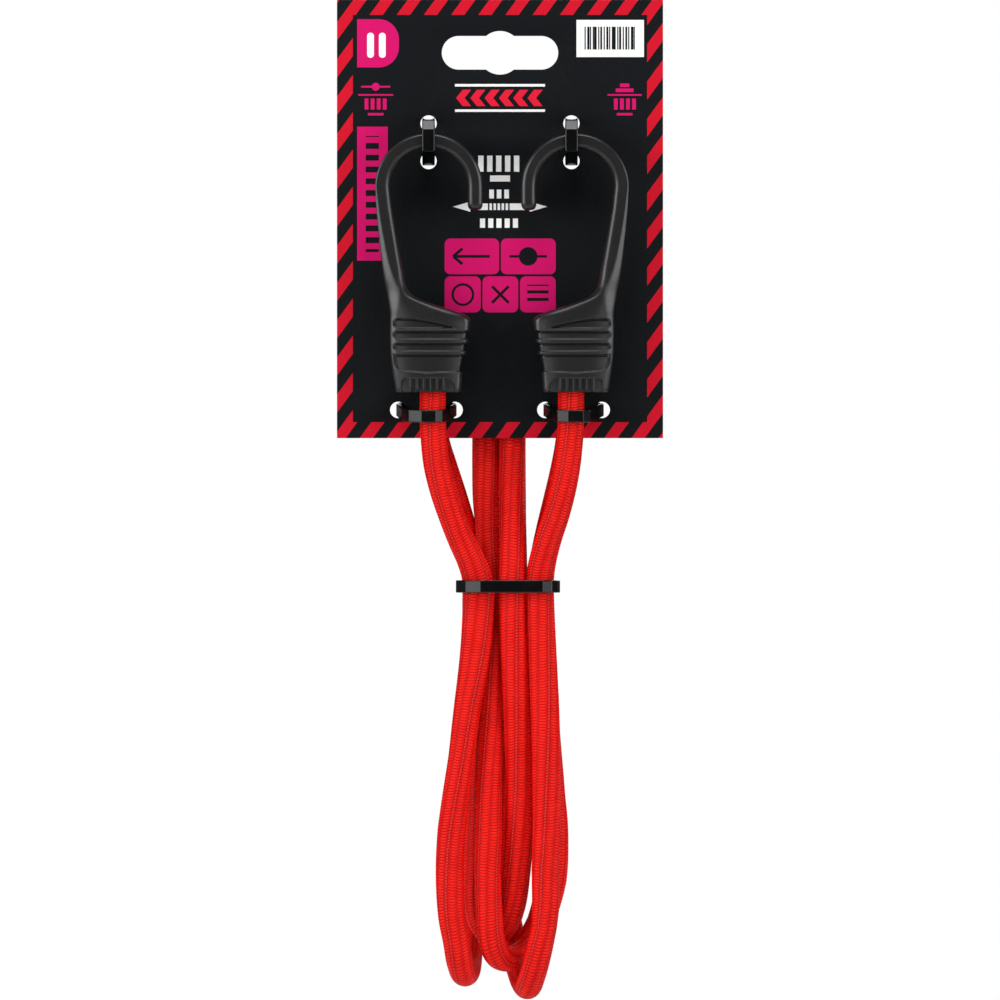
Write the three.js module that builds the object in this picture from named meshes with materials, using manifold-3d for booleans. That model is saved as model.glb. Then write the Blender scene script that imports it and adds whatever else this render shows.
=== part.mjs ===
// Two bungee cords on a header card: a card, four hooks, two folded cords and five cable ties.
// Millimetres, +Z up, the front faces -Y. The origin is where a peg bears, at the top of the hang slot.
import * as THREE from 'three';
import { mergeVertices } from 'three/addons/utils/BufferGeometryUtils.js';
import Module from 'manifold-3d';

const wasm = await Module();
wasm.setup();
const { Manifold } = wasm;

// Sizes.

const gap = 0.3;              // what touching pieces keep between them
const overrun = 1;            // how far a cutter passes what it cuts
const sliverThick = 0.02;     // slivers thinner than this are cleared from cut pieces

const cardWidth = 91.3;
const cardFoot = 7.9;         // card left below the middle of the lowest holes
const cardThick = 0.5;
const slotWidth = 32.6;       // straight slot of the hang hole
const slotHeight = 9.4;
const pegRadius = 6.1;        // round middle of the hang hole
const slotMargin = 8.8;       // card left above the hang hole
const tieHoleRadius = 2.3;
const archHolesX = 20;        // the pairs of holes beside the middle, at the hooks' arches
const archHolesDrop = 2.35;   // middle of the pair, below the top of the arch
const archHolesPitch = 10.5;
const cordHolesX = 20.6;      // the pairs of holes at the hooks' ends
const cordHolesDrop = 4.9;    // below the hook's end
const cordHolesPitch = 15.8;

const cordDiameter = 7.2;
const sheathWall = 0.7;
const stopWall = 0.8;
const stopLength = 8;

const hookHeight = 72.4;
const hookWidth = 30.1;       // outside of the arch
const wireWidth = 4.2;
const wireDepth = 6;
const bodyDepth = 13;
const bodyEdgeRadius = 2.4;
const leastRound = 0.15;
const grooveDepth = 0.7;
const hookDrop = 28.8;        // top of the arch below the origin
const hookClear = 1.75;       // between the body and the card
const hookSpacing = 38.7;     // between the two cord axes
const hookShift = 0.55;       // the pair sits a little right of the card's middle
const archShift = -1.1;       // arch centre beside the cord axis
const tipLength = 4.4;
const ribWidth = 0.42;        // thin upright ribs in a recess at the hook's end
const ribPitch = 1.84;
const ribHeight = 3.9;
const ribsX = -1.55;          // middle of the ribs beside the cord axis
const ribSpaceLeft = 2.5;     // from the outer ribs to the recess's sides
const ribSpaceRight = 3.1;
const ribCornerLeft = 1.5;
const ribCornerRight = 3;

const tieThick = 1.1;
const tieWidth = 3.5;
const tieTilt = 8;            // degrees, how far the lower card ties droop at the front
const headWidth = 5.2;
const headHeight = 5;
const headDepth = 4;
const headRound = 0.7;
const tailLength = 2.5;
const archTieRound = 0.8;     // inside corners of the upper ties
const archTieSlack = 0.6;     // in front of the wire, for the hook's small turn
const cardTieRound = 0.5;     // where they pass through the card
const leftTieSlack = 4.5;     // how far the lower ties run past the cord, away from the middle
const rightTieSlack = 0.3;
const bundleClear = 0.7;      // between the bundle tie and the cords
const bundleDrop = 155.5;

// Derived sizes.

const cordRadius = cordDiameter / 2;
const hookY = cardThick / 2 + hookClear + bodyDepth / 2;
const hookLeft = hookShift - hookSpacing / 2;
const hookRight = hookShift + hookSpacing / 2;
const archRadius = (hookWidth - wireWidth) / 2;
const archTieDrop = hookDrop + archHolesDrop;
const cordTieDrop = hookDrop + hookHeight + cordHolesDrop;
const cardHeight = slotMargin + cordTieDrop + cardFoot;
const boreRadius = cordRadius + gap;
const stopInside = cordRadius + gap;
const stopOutside = stopInside + stopWall;
const chamberRadius = stopOutside + gap;
const chamberLength = stopLength + 2 * gap;

// Materials.

const material = (name, color, roughness, metalness) =>
  new THREE.MeshStandardMaterial({ name, color, roughness, metalness });
const boardMaterial = material('card_board', 0x13171a, 0.8, 0);
const hookMaterial = material('hook_plastic', 0x2a2a2a, 0.45, 0);
const sheathMaterial = material('braid', 0xe02a22, 0.7, 0);
const coreMaterial = material('latex', 0xd9c9a8, 0.6, 0);
const stopMaterial = material('stop_steel', 0x9a9c9e, 0.35, 0.9);
const tieMaterial = material('tie_nylon', 0x0c0f10, 0.25, 0);

// Helpers.

function solidOf(geometry) {
  const bare = new THREE.BufferGeometry();
  bare.setAttribute('position', geometry.getAttribute('position').clone());
  if (geometry.index) bare.setIndex(geometry.index.clone());
  const merged = mergeVertices(bare, 1e-4);
  const mesh = new wasm.Mesh({
    numProp: 3,
    vertProperties: Float32Array.from(merged.getAttribute('position').array),
    triVerts: Uint32Array.from(merged.index.array),
  });
  return new Manifold(mesh);
}

function geometryOf(solid) {
  const mesh = solid.asOriginal().simplify(sliverThick).getMesh();
  const geometry = new THREE.BufferGeometry();
  const places = new Float32Array(mesh.vertProperties);
  geometry.setAttribute('position', new THREE.BufferAttribute(places, 3));
  geometry.setIndex(new THREE.BufferAttribute(new Uint32Array(mesh.triVerts), 1));
  geometry.computeVertexNormals();
  return geometry;
}

// A shape drawn in X and Z becomes a plate from y = -depth / 2 to y = +depth / 2.
function plate(shape, depth, curveSegments = 8) {
  const geometry = new THREE.ExtrudeGeometry(shape, { depth, bevelEnabled: false, curveSegments });
  geometry.translate(0, 0, -depth / 2);
  geometry.rotateX(Math.PI / 2);
  return geometry;
}

function upright(radius, bottom, top, sides) {
  const geometry = new THREE.CylinderGeometry(radius, radius, top - bottom, sides);
  geometry.rotateX(Math.PI / 2);
  geometry.translate(0, 0, (top + bottom) / 2);
  return geometry;
}

function mirrored(geometry) {
  const copy = geometry.index ? geometry.toNonIndexed() : geometry.clone();
  copy.scale(-1, 1, 1);
  const place = copy.getAttribute('position');
  const corner = new THREE.Vector3();
  const other = new THREE.Vector3();
  for (let i = 0; i < place.count; i += 3) {
    corner.fromBufferAttribute(place, i + 1);
    other.fromBufferAttribute(place, i + 2);
    place.setXYZ(i + 1, other.x, other.y, other.z);
    place.setXYZ(i + 2, corner.x, corner.y, corner.z);
  }
  copy.deleteAttribute('normal');
  const merged = mergeVertices(copy, 1e-4);
  merged.computeVertexNormals();
  return merged;
}

const group = new THREE.Group();
group.name = 'bungee_cord_pair';

function add(name, geometry, look, x = 0, y = 0, z = 0) {
  const mesh = new THREE.Mesh(geometry, look);
  mesh.name = name;
  mesh.position.set(x, y, z);
  group.add(mesh);
  return mesh;
}

// Header card.

const card = new THREE.Shape();
card.moveTo(-cardWidth / 2, slotMargin - cardHeight);
card.lineTo(cardWidth / 2, slotMargin - cardHeight);
card.lineTo(cardWidth / 2, slotMargin);
card.lineTo(-cardWidth / 2, slotMargin);
card.closePath();

// The hang hole is a slot with round ends, joined to a round hole in its middle.
const slotEnd = slotHeight / 2;
const slotCentre = -pegRadius;
const slotReach = slotWidth / 2 - slotEnd;
const roundAngle = Math.asin(slotEnd / pegRadius);
const hang = new THREE.Path();
hang.absarc(slotReach, slotCentre, slotEnd, -Math.PI / 2, Math.PI / 2, false);
hang.absarc(0, slotCentre, pegRadius, roundAngle, Math.PI - roundAngle, false);
hang.absarc(-slotReach, slotCentre, slotEnd, Math.PI / 2, 3 * Math.PI / 2, false);
hang.absarc(0, slotCentre, pegRadius, Math.PI + roundAngle, 2 * Math.PI - roundAngle, false);
hang.closePath();
card.holes.push(hang);

for (const side of [-1, 1]) {
  for (const end of [-1, 1]) {
    const archHole = new THREE.Path();
    const archHoleZ = -archTieDrop + end * archHolesPitch / 2;
    archHole.absarc(side * archHolesX, archHoleZ, tieHoleRadius, 0, 2 * Math.PI, false);
    card.holes.push(archHole);
    const cordHole = new THREE.Path();
    const cordHoleX = side * cordHolesX + end * cordHolesPitch / 2;
    cordHole.absarc(cordHoleX, -cordTieDrop, tieHoleRadius, 0, 2 * Math.PI, false);
    card.holes.push(cordHole);
  }
}
add('header_card', plate(card, cardThick, 6), boardMaterial);

// Hooks.

// One section of the hook: a box with rounded edges, wide along u in X and Z and deep along Y. The
// outer edges are rounded less than the inner ones, and neither deeper than the deepest.
function section(centre, u, halfWidth, halfDepth, roundOuter, roundInner, deepest) {
  const cornerShare = 1 - Math.SQRT1_2;
  const corner = (edge, sign, round) => [
    [edge, Math.min(round, deepest)],
    [edge + sign * round * cornerShare, Math.min(round, deepest) * cornerShare],
    [edge + sign * round, 0],
  ];
  const front = [...corner(-halfWidth, 1, roundOuter), ...corner(halfWidth, -1, roundInner).reverse()];
  const back = [...front].reverse();
  const place = (a, y) => new THREE.Vector3(centre.x + u.x * a, y, centre.z + u.z * a);
  return [
    ...front.map(([a, inset]) => place(a, -halfDepth + inset)),
    ...back.map(([a, inset]) => place(a, halfDepth - inset)),
  ];
}

// Rings with as many points each, closed at both ends.
function loft(rings) {
  const around = rings[0].length;
  const places = [];
  const index = [];
  for (const ring of rings) {
    for (const p of ring) places.push(p.x, p.y, p.z);
  }
  for (let i = 0; i + 1 < rings.length; i += 1) {
    for (let j = 0; j < around; j += 1) {
      const a = i * around + j;
      const b = i * around + (j + 1) % around;
      index.push(a, a + around, b, b, a + around, b + around);
    }
  }
  const last = (rings.length - 1) * around;
  for (let j = 1; j + 1 < around; j += 1) {
    index.push(0, j, j + 1, last, last + j + 1, last + j);
  }
  const geometry = new THREE.BufferGeometry();
  geometry.setAttribute('position', new THREE.Float32BufferAttribute(places, 3));
  geometry.setIndex(index);
  return geometry;
}

// Rows down the spine and body: share of the hook's height from its top, left and right edge as a
// share of its width from the cord axis, share of the way from wire depth to body depth, and
// the rounding of the outer and inner edges as shares of the body's rounding.
const bodyShares = [
  [0.245, -0.532, -0.387, 0, 0.18, 0.62],
  [0.290, -0.525, -0.374, 0.03, 0.18, 0.67],
  [0.330, -0.517, -0.358, 0.07, 0.2, 0.72],
  [0.371, -0.508, -0.341, 0.13, 0.22, 0.76],
  [0.410, -0.498, -0.324, 0.2, 0.26, 0.78],
  [0.449, -0.488, -0.307, 0.3, 0.32, 0.8],
  [0.490, -0.477, -0.289, 0.41, 0.4, 0.8],
  [0.526, -0.466, -0.273, 0.52, 0.48, 0.8],
  [0.565, -0.451, -0.259, 0.64, 0.56, 0.85],
  [0.596, -0.436, -0.240, 0.74, 0.62, 0.95],
  [0.615, -0.426, -0.209, 0.8, 0.64, 1.1],
  [0.632, -0.419, -0.159, 0.86, 0.64, 1.35],
  [0.645, -0.414, -0.090, 0.9, 0.62, 1.5],
  [0.658, -0.409, -0.005, 0.93, 0.6, 1.6],
  [0.676, -0.402, 0.124, 0.97, 0.58, 1.6],
  [0.694, -0.398, 0.262, 1, 0.56, 1.5],
  [0.706, -0.396, 0.332, 1, 0.55, 1.2],
  [0.716, -0.396, 0.351, 1, 0.5, 0.9],
  [0.730, -0.396, 0.354, 1, 0.46, 0.8],
  [0.780, -0.398, 0.341, 1, 0.42, 0.8],
  [0.836, -0.395, 0.319, 1, 0.42, 0.8],
  [0.874, -0.390, 0.300, 0.97, 0.42, 0.78],
  [0.932, -0.370, 0.275, 0.9, 0.4, 0.75],
  [0.990, -0.347, 0.265, 0.84, 0.38, 0.7],
  [1.000, -0.340, 0.258, 0.8, 0.36, 0.65],
];
// The wire's rounding, outer and inner.
const wireShares = [0.18, 0.6];
// Down the tip's rounded end: share of its rounding left, and share of the half width there.
const tipShares = [[1, 0.45], [0.85, 0.75], [0.5, 0.94], [0, 1]];
const archSteps = 14;
const ribCount = 6;
const boreSides = 16;

function hookRings(inset) {
  const rings = [];
  const rounded = (share) => Math.max(share * bodyEdgeRadius - inset, leastRound);
  const [wireOuter, wireInner] = wireShares;
  const archX = archShift;
  const archZ = -hookWidth / 2;
  const half = wireWidth / 2;
  const inward = new THREE.Vector3(-1, 0, 0);
  const tipX = archX + archRadius;
  for (const [downShare, wideShare] of tipShares) {
    const centre = new THREE.Vector3(tipX, 0, archZ - tipLength - downShare * half + inset * downShare);
    rings.push(section(centre, inward, half * wideShare - inset, wireDepth / 2 * wideShare - inset,
      rounded(wireOuter * wideShare), rounded(wireInner * wideShare), bodyEdgeRadius - inset));
  }
  for (let i = 0; i <= archSteps; i += 1) {
    const angle = Math.PI * i / archSteps;
    const out = new THREE.Vector3(Math.cos(angle), 0, Math.sin(angle));
    const centre = new THREE.Vector3(archX, 0, archZ).addScaledVector(out, archRadius);
    rings.push(section(centre, out.clone().negate(), half - inset, wireDepth / 2 - inset,
      rounded(wireOuter), rounded(wireInner), bodyEdgeRadius - inset));
  }
  const across = new THREE.Vector3(1, 0, 0);
  for (const [downShare, leftShare, rightShare, depthShare, outerShare, innerShare] of bodyShares) {
    const left = leftShare * hookWidth;
    const right = rightShare * hookWidth;
    const middle = new THREE.Vector3((left + right) / 2, 0, -downShare * hookHeight);
    const halfDepth = THREE.MathUtils.lerp(wireDepth, bodyDepth, depthShare) / 2 - inset;
    rings.push(section(middle, across, (right - left) / 2 - inset, halfDepth,
      rounded(outerShare), rounded(innerShare), bodyEdgeRadius - inset));
  }
  // The inner body runs on past the end, so that the grooves' skin is open there.
  if (inset) rings.push(rings.at(-1).map((p) => p.clone().setZ(p.z - overrun)));
  return rings;
}

function outline(points) {
  return new THREE.Shape(points.map(([x, z]) => new THREE.Vector2(x, z)));
}

// A finger groove: straight, open past the right edge, with a round end at the left.
function grooveShape(topShare, bottomShare, leftShare) {
  const top = -topShare * hookHeight;
  const bottom = -bottomShare * hookHeight;
  const round = (top - bottom) / 2;
  const left = leftShare * hookWidth + round;
  const shape = new THREE.Shape();
  shape.moveTo(hookWidth, bottom);
  shape.lineTo(hookWidth, top);
  shape.lineTo(left, top);
  shape.absarc(left, top - round, round, Math.PI / 2, 3 * Math.PI / 2, false);
  shape.closePath();
  return shape;
}

// The top groove narrows to a point under the ledge. Shares of the hook's width and height.
const taperShares = [
  [-0.358, 0.735], [-0.348, 0.722], [-0.315, 0.7165], [-0.17, 0.7185], [-0.03, 0.728],
  [0.11, 0.7405], [0.214, 0.7535], [0.08, 0.7545], [-0.12, 0.7545], [-0.32, 0.7535], [-0.352, 0.748],
];
// The recess under the grooves has a rounded lower left corner and runs out to the right.
const recessShares = [
  [1, 0.8565], [-0.352, 0.8565], [-0.352, 0.877], [-0.342, 0.897], [-0.318, 0.911],
  [-0.28, 0.9175], [-0.05, 0.9255], [0.2, 0.9205], [1, 0.9175],
];
const grooveRows = [[0.766, 0.795, -0.358], [0.8125, 0.8415, -0.357]];
const sized = (shares) => outline(shares.map(([a, b]) => [a * hookWidth, -b * hookHeight]));

// The chamber that holds the crimped stop sits under the ledge, behind the grooves.
const chamberTopShare = 0.727;
const chamberTop = -chamberTopShare * hookHeight;
const chamberBottom = chamberTop - chamberLength;

function makeHook() {
  const body = solidOf(loft(hookRings(0)));
  const skin = body.subtract(solidOf(loft(hookRings(grooveDepth))));
  const wide = 2 * bodyDepth;
  const cutters = [
    solidOf(plate(sized(taperShares), wide)),
    solidOf(plate(sized(recessShares), wide)),
    ...grooveRows.map((row) => solidOf(plate(grooveShape(...row), wide, 3))),
  ];
  // Six upright ribs are left standing in a recess with rounded top corners.
  const ribReach = (ribCount - 1) * ribPitch / 2;
  const ribLeft = ribsX - ribReach - ribSpaceLeft;
  const ribRight = ribsX + ribReach + ribSpaceRight;
  const ribTop = -hookHeight + ribHeight;
  const ribRecess = new THREE.Shape();
  ribRecess.moveTo(ribLeft, -hookHeight - overrun);
  ribRecess.lineTo(ribRight, -hookHeight - overrun);
  const [roundRight, roundLeft] = [ribCornerRight, ribCornerLeft];
  ribRecess.absarc(ribRight - roundRight, ribTop - roundRight, roundRight, 0, Math.PI / 2, false);
  ribRecess.absarc(ribLeft + roundLeft, ribTop - roundLeft, roundLeft, Math.PI / 2, Math.PI, false);
  ribRecess.closePath();
  const ribs = [];
  for (let i = 0; i < ribCount; i += 1) {
    const rib = new THREE.BoxGeometry(ribWidth, 2 * wide, 2 * ribHeight + overrun);
    rib.translate(ribsX - ribReach + i * ribPitch, 0, -hookHeight);
    ribs.push(solidOf(rib));
  }
  cutters.push(solidOf(plate(ribRecess, wide, 3)).subtract(Manifold.union(ribs)));
  const grooved = body.subtract(skin.intersect(Manifold.union(cutters)));
  const bore = solidOf(upright(boreRadius, -hookHeight - overrun, chamberBottom + overrun, boreSides));
  const chamber = solidOf(upright(chamberRadius, chamberBottom, chamberTop, boreSides));
  // Cuts that meet on one facet can leave a flake of no volume, so the hook is the largest body.
  const bodies = grooved.subtract(Manifold.union([bore, chamber])).decompose();
  return geometryOf(bodies.sort((a, b) => b.volume() - a.volume())[0]);
}

const leftHook = makeHook();
const rightHook = mirrored(leftHook);
const places = [
  ['front_left', hookLeft, -hookY, leftHook],
  ['front_right', hookRight, -hookY, rightHook],
  ['back_left', hookLeft, hookY, leftHook],
  ['back_right', hookRight, hookY, rightHook],
];
for (const [where, x, y, geometry] of places) {
  add(`hook_${where}`, geometry.clone(), hookMaterial, x, y, -hookDrop);
}

// Crimped cord stops.

const stopTop = chamberTop - gap;
const stopProfile = [
  new THREE.Vector2(stopInside, stopTop - stopLength),
  new THREE.Vector2(stopOutside - stopWall / 2, stopTop - stopLength),
  new THREE.Vector2(stopOutside, stopTop - stopLength + stopWall / 2),
  new THREE.Vector2(stopOutside, stopTop - stopWall / 2),
  new THREE.Vector2(stopOutside - stopWall / 2, stopTop),
  new THREE.Vector2(stopInside, stopTop),
  new THREE.Vector2(stopInside, stopTop - stopLength),
];
for (const [where, x, y] of places) {
  const stop = new THREE.LatheGeometry(stopProfile, boreSides);
  stop.rotateX(Math.PI / 2);
  add(`cord_stop_${where}`, stop, stopMaterial, x, y, -hookDrop);
}

// Cords.

// Each cord has four runs: down from a front hook, up behind, down in the middle, and up to the
// back hook of the other side. The routes are chosen by hand from the photograph.
const firstRoute = [
  [-18.8, -8.5, -82], [-18.8, -8.5, -92], [-18.8, -8.5, -101.2], [-18.8, -8.5, -108],
  [-18.5, -8.4, -114.5], [-17.7, -8.3, -121.5], [-16, -8, -128.5], [-13.8, -7.3, -135],
  [-10.9, -6.2, -142.5], [-8.2, -5, -148.8], [-7, -4.5, -153.5], [-6.9, -4.5, -160],
  [-7.2, -4.7, -168], [-8, -5.3, -178], [-9.4, -6, -189], [-11, -6.7, -203], [-12.7, -7.2, -217],
  [-13.8, -7.6, -229], [-14, -7.8, -239], [-13.4, -7.8, -248], [-12.2, -7.2, -254.6],
  [-11.3, -5, -260.2], [-10.4, -1.6, -263.2], [-9.7, 2.4, -263.9], [-9.1, 6.6, -262.8],
  [-8.7, 10.2, -259.6], [-8.6, 12.5, -254.5], [-9.2, 13.2, -247], [-10.6, 13.3, -236],
  [-11.6, 13.5, -222], [-11, 13.9, -207], [-8.6, 15, -192], [-5, 15.6, -179], [-2.2, 14.2, -168.5],
  [-1.2, 13.4, -160], [-1.2, 13.4, -153.5], [-1.8, 14.1, -147], [-3.2, 16.1, -139],
  [-4, 19, -130.5], [-4.15, 21.8, -122.5], [-4.15, 22.8, -115.5], [-4.15, 21.7, -111],
  [-4.15, 18.7, -107.6], [-4.15, 14.7, -106.4], [-4.15, 10.8, -107.6], [-4.05, 7.9, -111],
  [-3.95, 6.8, -115.5], [-3.85, 6.5, -121.5], [-3.8, 5.7, -128.5], [-3.65, 4.6, -135.5],
  [-3.3, 3.1, -142.5], [-2.6, 2.1, -149], [-2.2, 1.8, -154], [-2.2, 1.8, -160],
  [-2.2, 1.5, -168], [-2.3, 0.8, -179], [-2.5, -0.3, -190], [-3, -2, -202], [-3.5, -4, -214],
  [-3.6, -5.6, -225], [-3.5, -6.6, -235], [-2.9, -7.1, -244.5], [-1.9, -7, -251.5],
  [-0.5, -6, -255.9], [1.4, -3.6, -258.8], [3.6, -0.5, -259.7], [5.9, 2.8, -258.6],
  [8, 5.6, -255.6], [9.8, 7.5, -251.2], [11.5, 8.6, -246], [13.2, 9.1, -239.5],
  [14.5, 9.2, -231.5], [14.9, 9, -222.5], [14.2, 8.4, -211], [13.2, 7.4, -198.5],
  [12.2, 6, -184.5], [11.5, 4.5, -171], [11.2, 3.4, -160.5], [11.2, 3.3, -153.5],
  [12.3, 4, -146.5], [13.8, 5.2, -139.5], [15.6, 6.4, -132], [17.4, 7.4, -124.5],
  [18.9, 8.2, -117], [19.7, 8.5, -110.5], [19.9, 8.5, -106], [19.9, 8.5, -101.2],
  [19.9, 8.5, -92], [19.9, 8.5, -82],
];
const secondRoute = [
  [19.9, -8.5, -82], [19.9, -8.5, -92], [19.9, -8.5, -101.2], [19.9, -8.5, -108],
  [19.6, -8.4, -114.5], [18.8, -8.3, -122], [17.5, -8, -129], [15.8, -7.3, -135.5],
  [13.7, -6.3, -142], [12.1, -5.1, -148.4], [11.4, -4.5, -153.5], [11.4, -4.5, -160],
  [11.7, -4.8, -170], [12.2, -5.5, -184], [12.7, -6.3, -198], [12.9, -6.9, -211],
  [13, -7.4, -223.5], [12.9, -7.8, -234], [12.4, -8.1, -243], [11.4, -8.1, -251],
  [10.4, -7.3, -257.6], [9.4, -5.2, -262.8], [8.5, -2, -266.2], [7.7, 2.1, -267.5],
  [6.7, 6.3, -266.4], [5.5, 9.9, -263.1], [4.2, 12.1, -258.2], [2.9, 12.8, -252],
  [1.7, 12.4, -245.5], [0.9, 11.7, -237], [0.6, 11.1, -227], [0.7, 10.6, -215],
  [1.4, 9.8, -200.5], [2.3, 8.9, -187], [3.3, 7.7, -173.5], [4, 6.7, -161.5], [4, 6.7, -153.5],
  [3.9, 8, -147], [3.7, 11, -138.5], [3.6, 15.2, -130], [3.55, 18.9, -122.5],
  [3.55, 20.3, -115.5], [3.55, 19.2, -111], [3.55, 16.2, -107.6], [3.55, 12.3, -106.4],
  [3.55, 8.4, -107.6], [3.5, 5.4, -111], [3.35, 4.3, -115.5], [3.3, 4.2, -119.5],
  [3.25, 3, -126.5], [3.3, 0.6, -133.5], [3.4, -2, -140.5], [3.45, -4, -147.5],
  [3.4, -4.5, -153.5], [3.4, -4.5, -160], [3.7, -4.3, -172], [4.4, -3.7, -186],
  [5.1, -3.1, -200], [5.5, -2.9, -212], [5.3, -2.8, -224], [5, -2.6, -233.5], [4.5, -2.3, -240],
  [3.5, -1.7, -245.5], [1.6, 0.2, -249.9], [-1, 2, -252.2], [-3.7, 3.6, -251.6],
  [-5.7, 4.7, -248.2], [-6.5, 5, -242.8], [-6.5, 5.3, -235], [-6.4, 5.7, -223],
  [-6.3, 6.2, -209], [-6.4, 6.8, -195], [-6.7, 7.4, -181], [-6.9, 7.9, -168], [-6.9, 8, -160],
  [-6.9, 8, -154], [-7.6, 8.4, -148.5], [-9.2, 8.9, -142.5], [-11.3, 9, -135.5],
  [-13.3, 8.9, -129], [-15.6, 8.8, -122], [-17.5, 8.6, -116], [-18.6, 8.5, -110.5],
  [-18.8, 8.5, -106], [-18.8, 8.5, -101.2], [-18.8, 8.5, -92], [-18.8, 8.5, -82],
];

const sheathSides = 8;
const coreSides = 6;
const coreRadius = (cordRadius - sheathWall) * Math.cos(Math.PI / sheathSides) - gap;

function curveOf(route) {
  const points = route.map((p) => new THREE.Vector3(...p));
  return new THREE.CatmullRomCurve3(points, false, 'centripetal');
}

// One ring of points at each place of the route, turned as little as can be from ring to ring.
function ringsAlong(route, radius, sides) {
  const curve = curveOf(route);
  const rings = [];
  const tangent = new THREE.Vector3();
  const side = new THREE.Vector3(1, 0, 0);
  for (let i = 0; i < route.length; i += 1) {
    const share = i / (route.length - 1);
    const centre = curve.getPoint(share);
    tangent.copy(curve.getTangent(share)).normalize();
    side.addScaledVector(tangent, -side.dot(tangent)).normalize();
    const third = new THREE.Vector3().crossVectors(tangent, side);
    const ring = [];
    for (let j = 0; j < sides; j += 1) {
      const angle = 2 * Math.PI * (j + 0.5) / sides;
      ring.push(centre.clone()
        .addScaledVector(side, radius * Math.cos(angle))
        .addScaledVector(third, radius * Math.sin(angle)));
    }
    rings.push(ring);
  }
  return rings;
}

// A tube with a bore, or a plain one where no inner radius is given.
function tube(route, outer, inner, sides) {
  const outside = ringsAlong(route, outer, sides);
  const count = outside.length;
  const points = outside.flat();
  const index = [];
  const wall = (from, flip) => {
    for (let i = 0; i + 1 < count; i += 1) {
      for (let j = 0; j < sides; j += 1) {
        const a = from + i * sides + j;
        const b = from + i * sides + (j + 1) % sides;
        const quad = [a, b, a + sides, b, b + sides, a + sides];
        index.push(...(flip ? quad.reverse() : quad));
      }
    }
  };
  wall(0, false);
  const end = (count - 1) * sides;
  if (inner) {
    const bore = points.length;
    points.push(...ringsAlong(route, inner, sides).flat());
    wall(bore, true);
    for (let j = 0; j < sides; j += 1) {
      const k = (j + 1) % sides;
      index.push(j, bore + j, k, k, bore + j, bore + k);
      index.push(end + j, end + k, bore + end + j, end + k, bore + end + k, bore + end + j);
    }
  } else {
    for (let j = 1; j + 1 < sides; j += 1) {
      index.push(0, j + 1, j, end, end + j, end + j + 1);
    }
  }
  const geometry = new THREE.BufferGeometry();
  const numbers = points.flatMap((p) => p.toArray());
  geometry.setAttribute('position', new THREE.Float32BufferAttribute(numbers, 3));
  geometry.setIndex(index);
  geometry.computeVertexNormals();
  return geometry;
}

for (const [name, route] of [['first', firstRoute], ['second', secondRoute]]) {
  add(`cord_sheath_${name}`, tube(route, cordRadius, cordRadius - sheathWall, sheathSides), sheathMaterial);
  add(`cord_core_${name}`, tube(route, coreRadius, 0, coreSides), coreMaterial);
}

// How long each cord is between its hooks, and the least gap of the cords to themselves and each other.
const samplesEach = 600;
const sampled = [firstRoute, secondRoute].map((route) => curveOf(route).getSpacedPoints(samplesEach));
const lengths = [firstRoute, secondRoute].map((route) => curveOf(route).getLength());
let leastGap = Infinity;
let leastPlace = null;
for (const [first, points] of sampled.entries()) {
  for (const [second, others] of sampled.entries()) {
    if (second < first) continue;
    const skip = second === first ? Math.ceil(4 * cordDiameter / (lengths[first] / samplesEach)) : 0;
    for (let i = 0; i < points.length; i += 1) {
      for (let j = second === first ? i + skip : 0; j < others.length; j += 1) {
        const between = points[i].distanceTo(others[j]) - cordDiameter;
        if (between < leastGap) {
          leastGap = between;
          leastPlace = [first, points[i], second, others[j]];
        }
      }
    }
  }
}
console.log('cord lengths', lengths.map((long) => long.toFixed(1)).join(', '));
const words = (p) => p.toArray().map((v) => v.toFixed(1)).join(' ');
const both = `${words(leastPlace[1])} and ${words(leastPlace[3])}`;
console.log('least gap between runs', leastGap.toFixed(2), 'at', both);

// Cable ties.

// A belt round circles that are given anticlockwise, each as [x, y, radius]. Between two circles it
// is straight and touches both. The angles are where it meets and leaves each circle.
function beltAngles(circles) {
  const leaves = circles.map(([x, y, radius], i) => {
    const [nextX, nextY, nextRadius] = circles[(i + 1) % circles.length];
    const apart = Math.hypot(nextX - x, nextY - y);
    return Math.atan2(nextY - y, nextX - x) - Math.acos((radius - nextRadius) / apart);
  });
  return leaves.map((leave, i) => {
    const meet = leaves.at(i - 1);
    return [meet, meet + (leave - meet + 4 * Math.PI) % (2 * Math.PI)];
  });
}

function beltPoints(circles, grow) {
  const angles = beltAngles(circles);
  return circles.flatMap(([x, y, radius], i) => {
    const [meet, leave] = angles[i];
    const steps = Math.max(1, Math.ceil((leave - meet) / (2 * Math.PI) * tieSides));
    return Array.from({ length: steps + 1 }, (_, k) => {
      const angle = meet + (leave - meet) * k / steps;
      const reach = radius + grow;
      return new THREE.Vector2(x + reach * Math.cos(angle), y + reach * Math.sin(angle));
    });
  });
}

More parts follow.
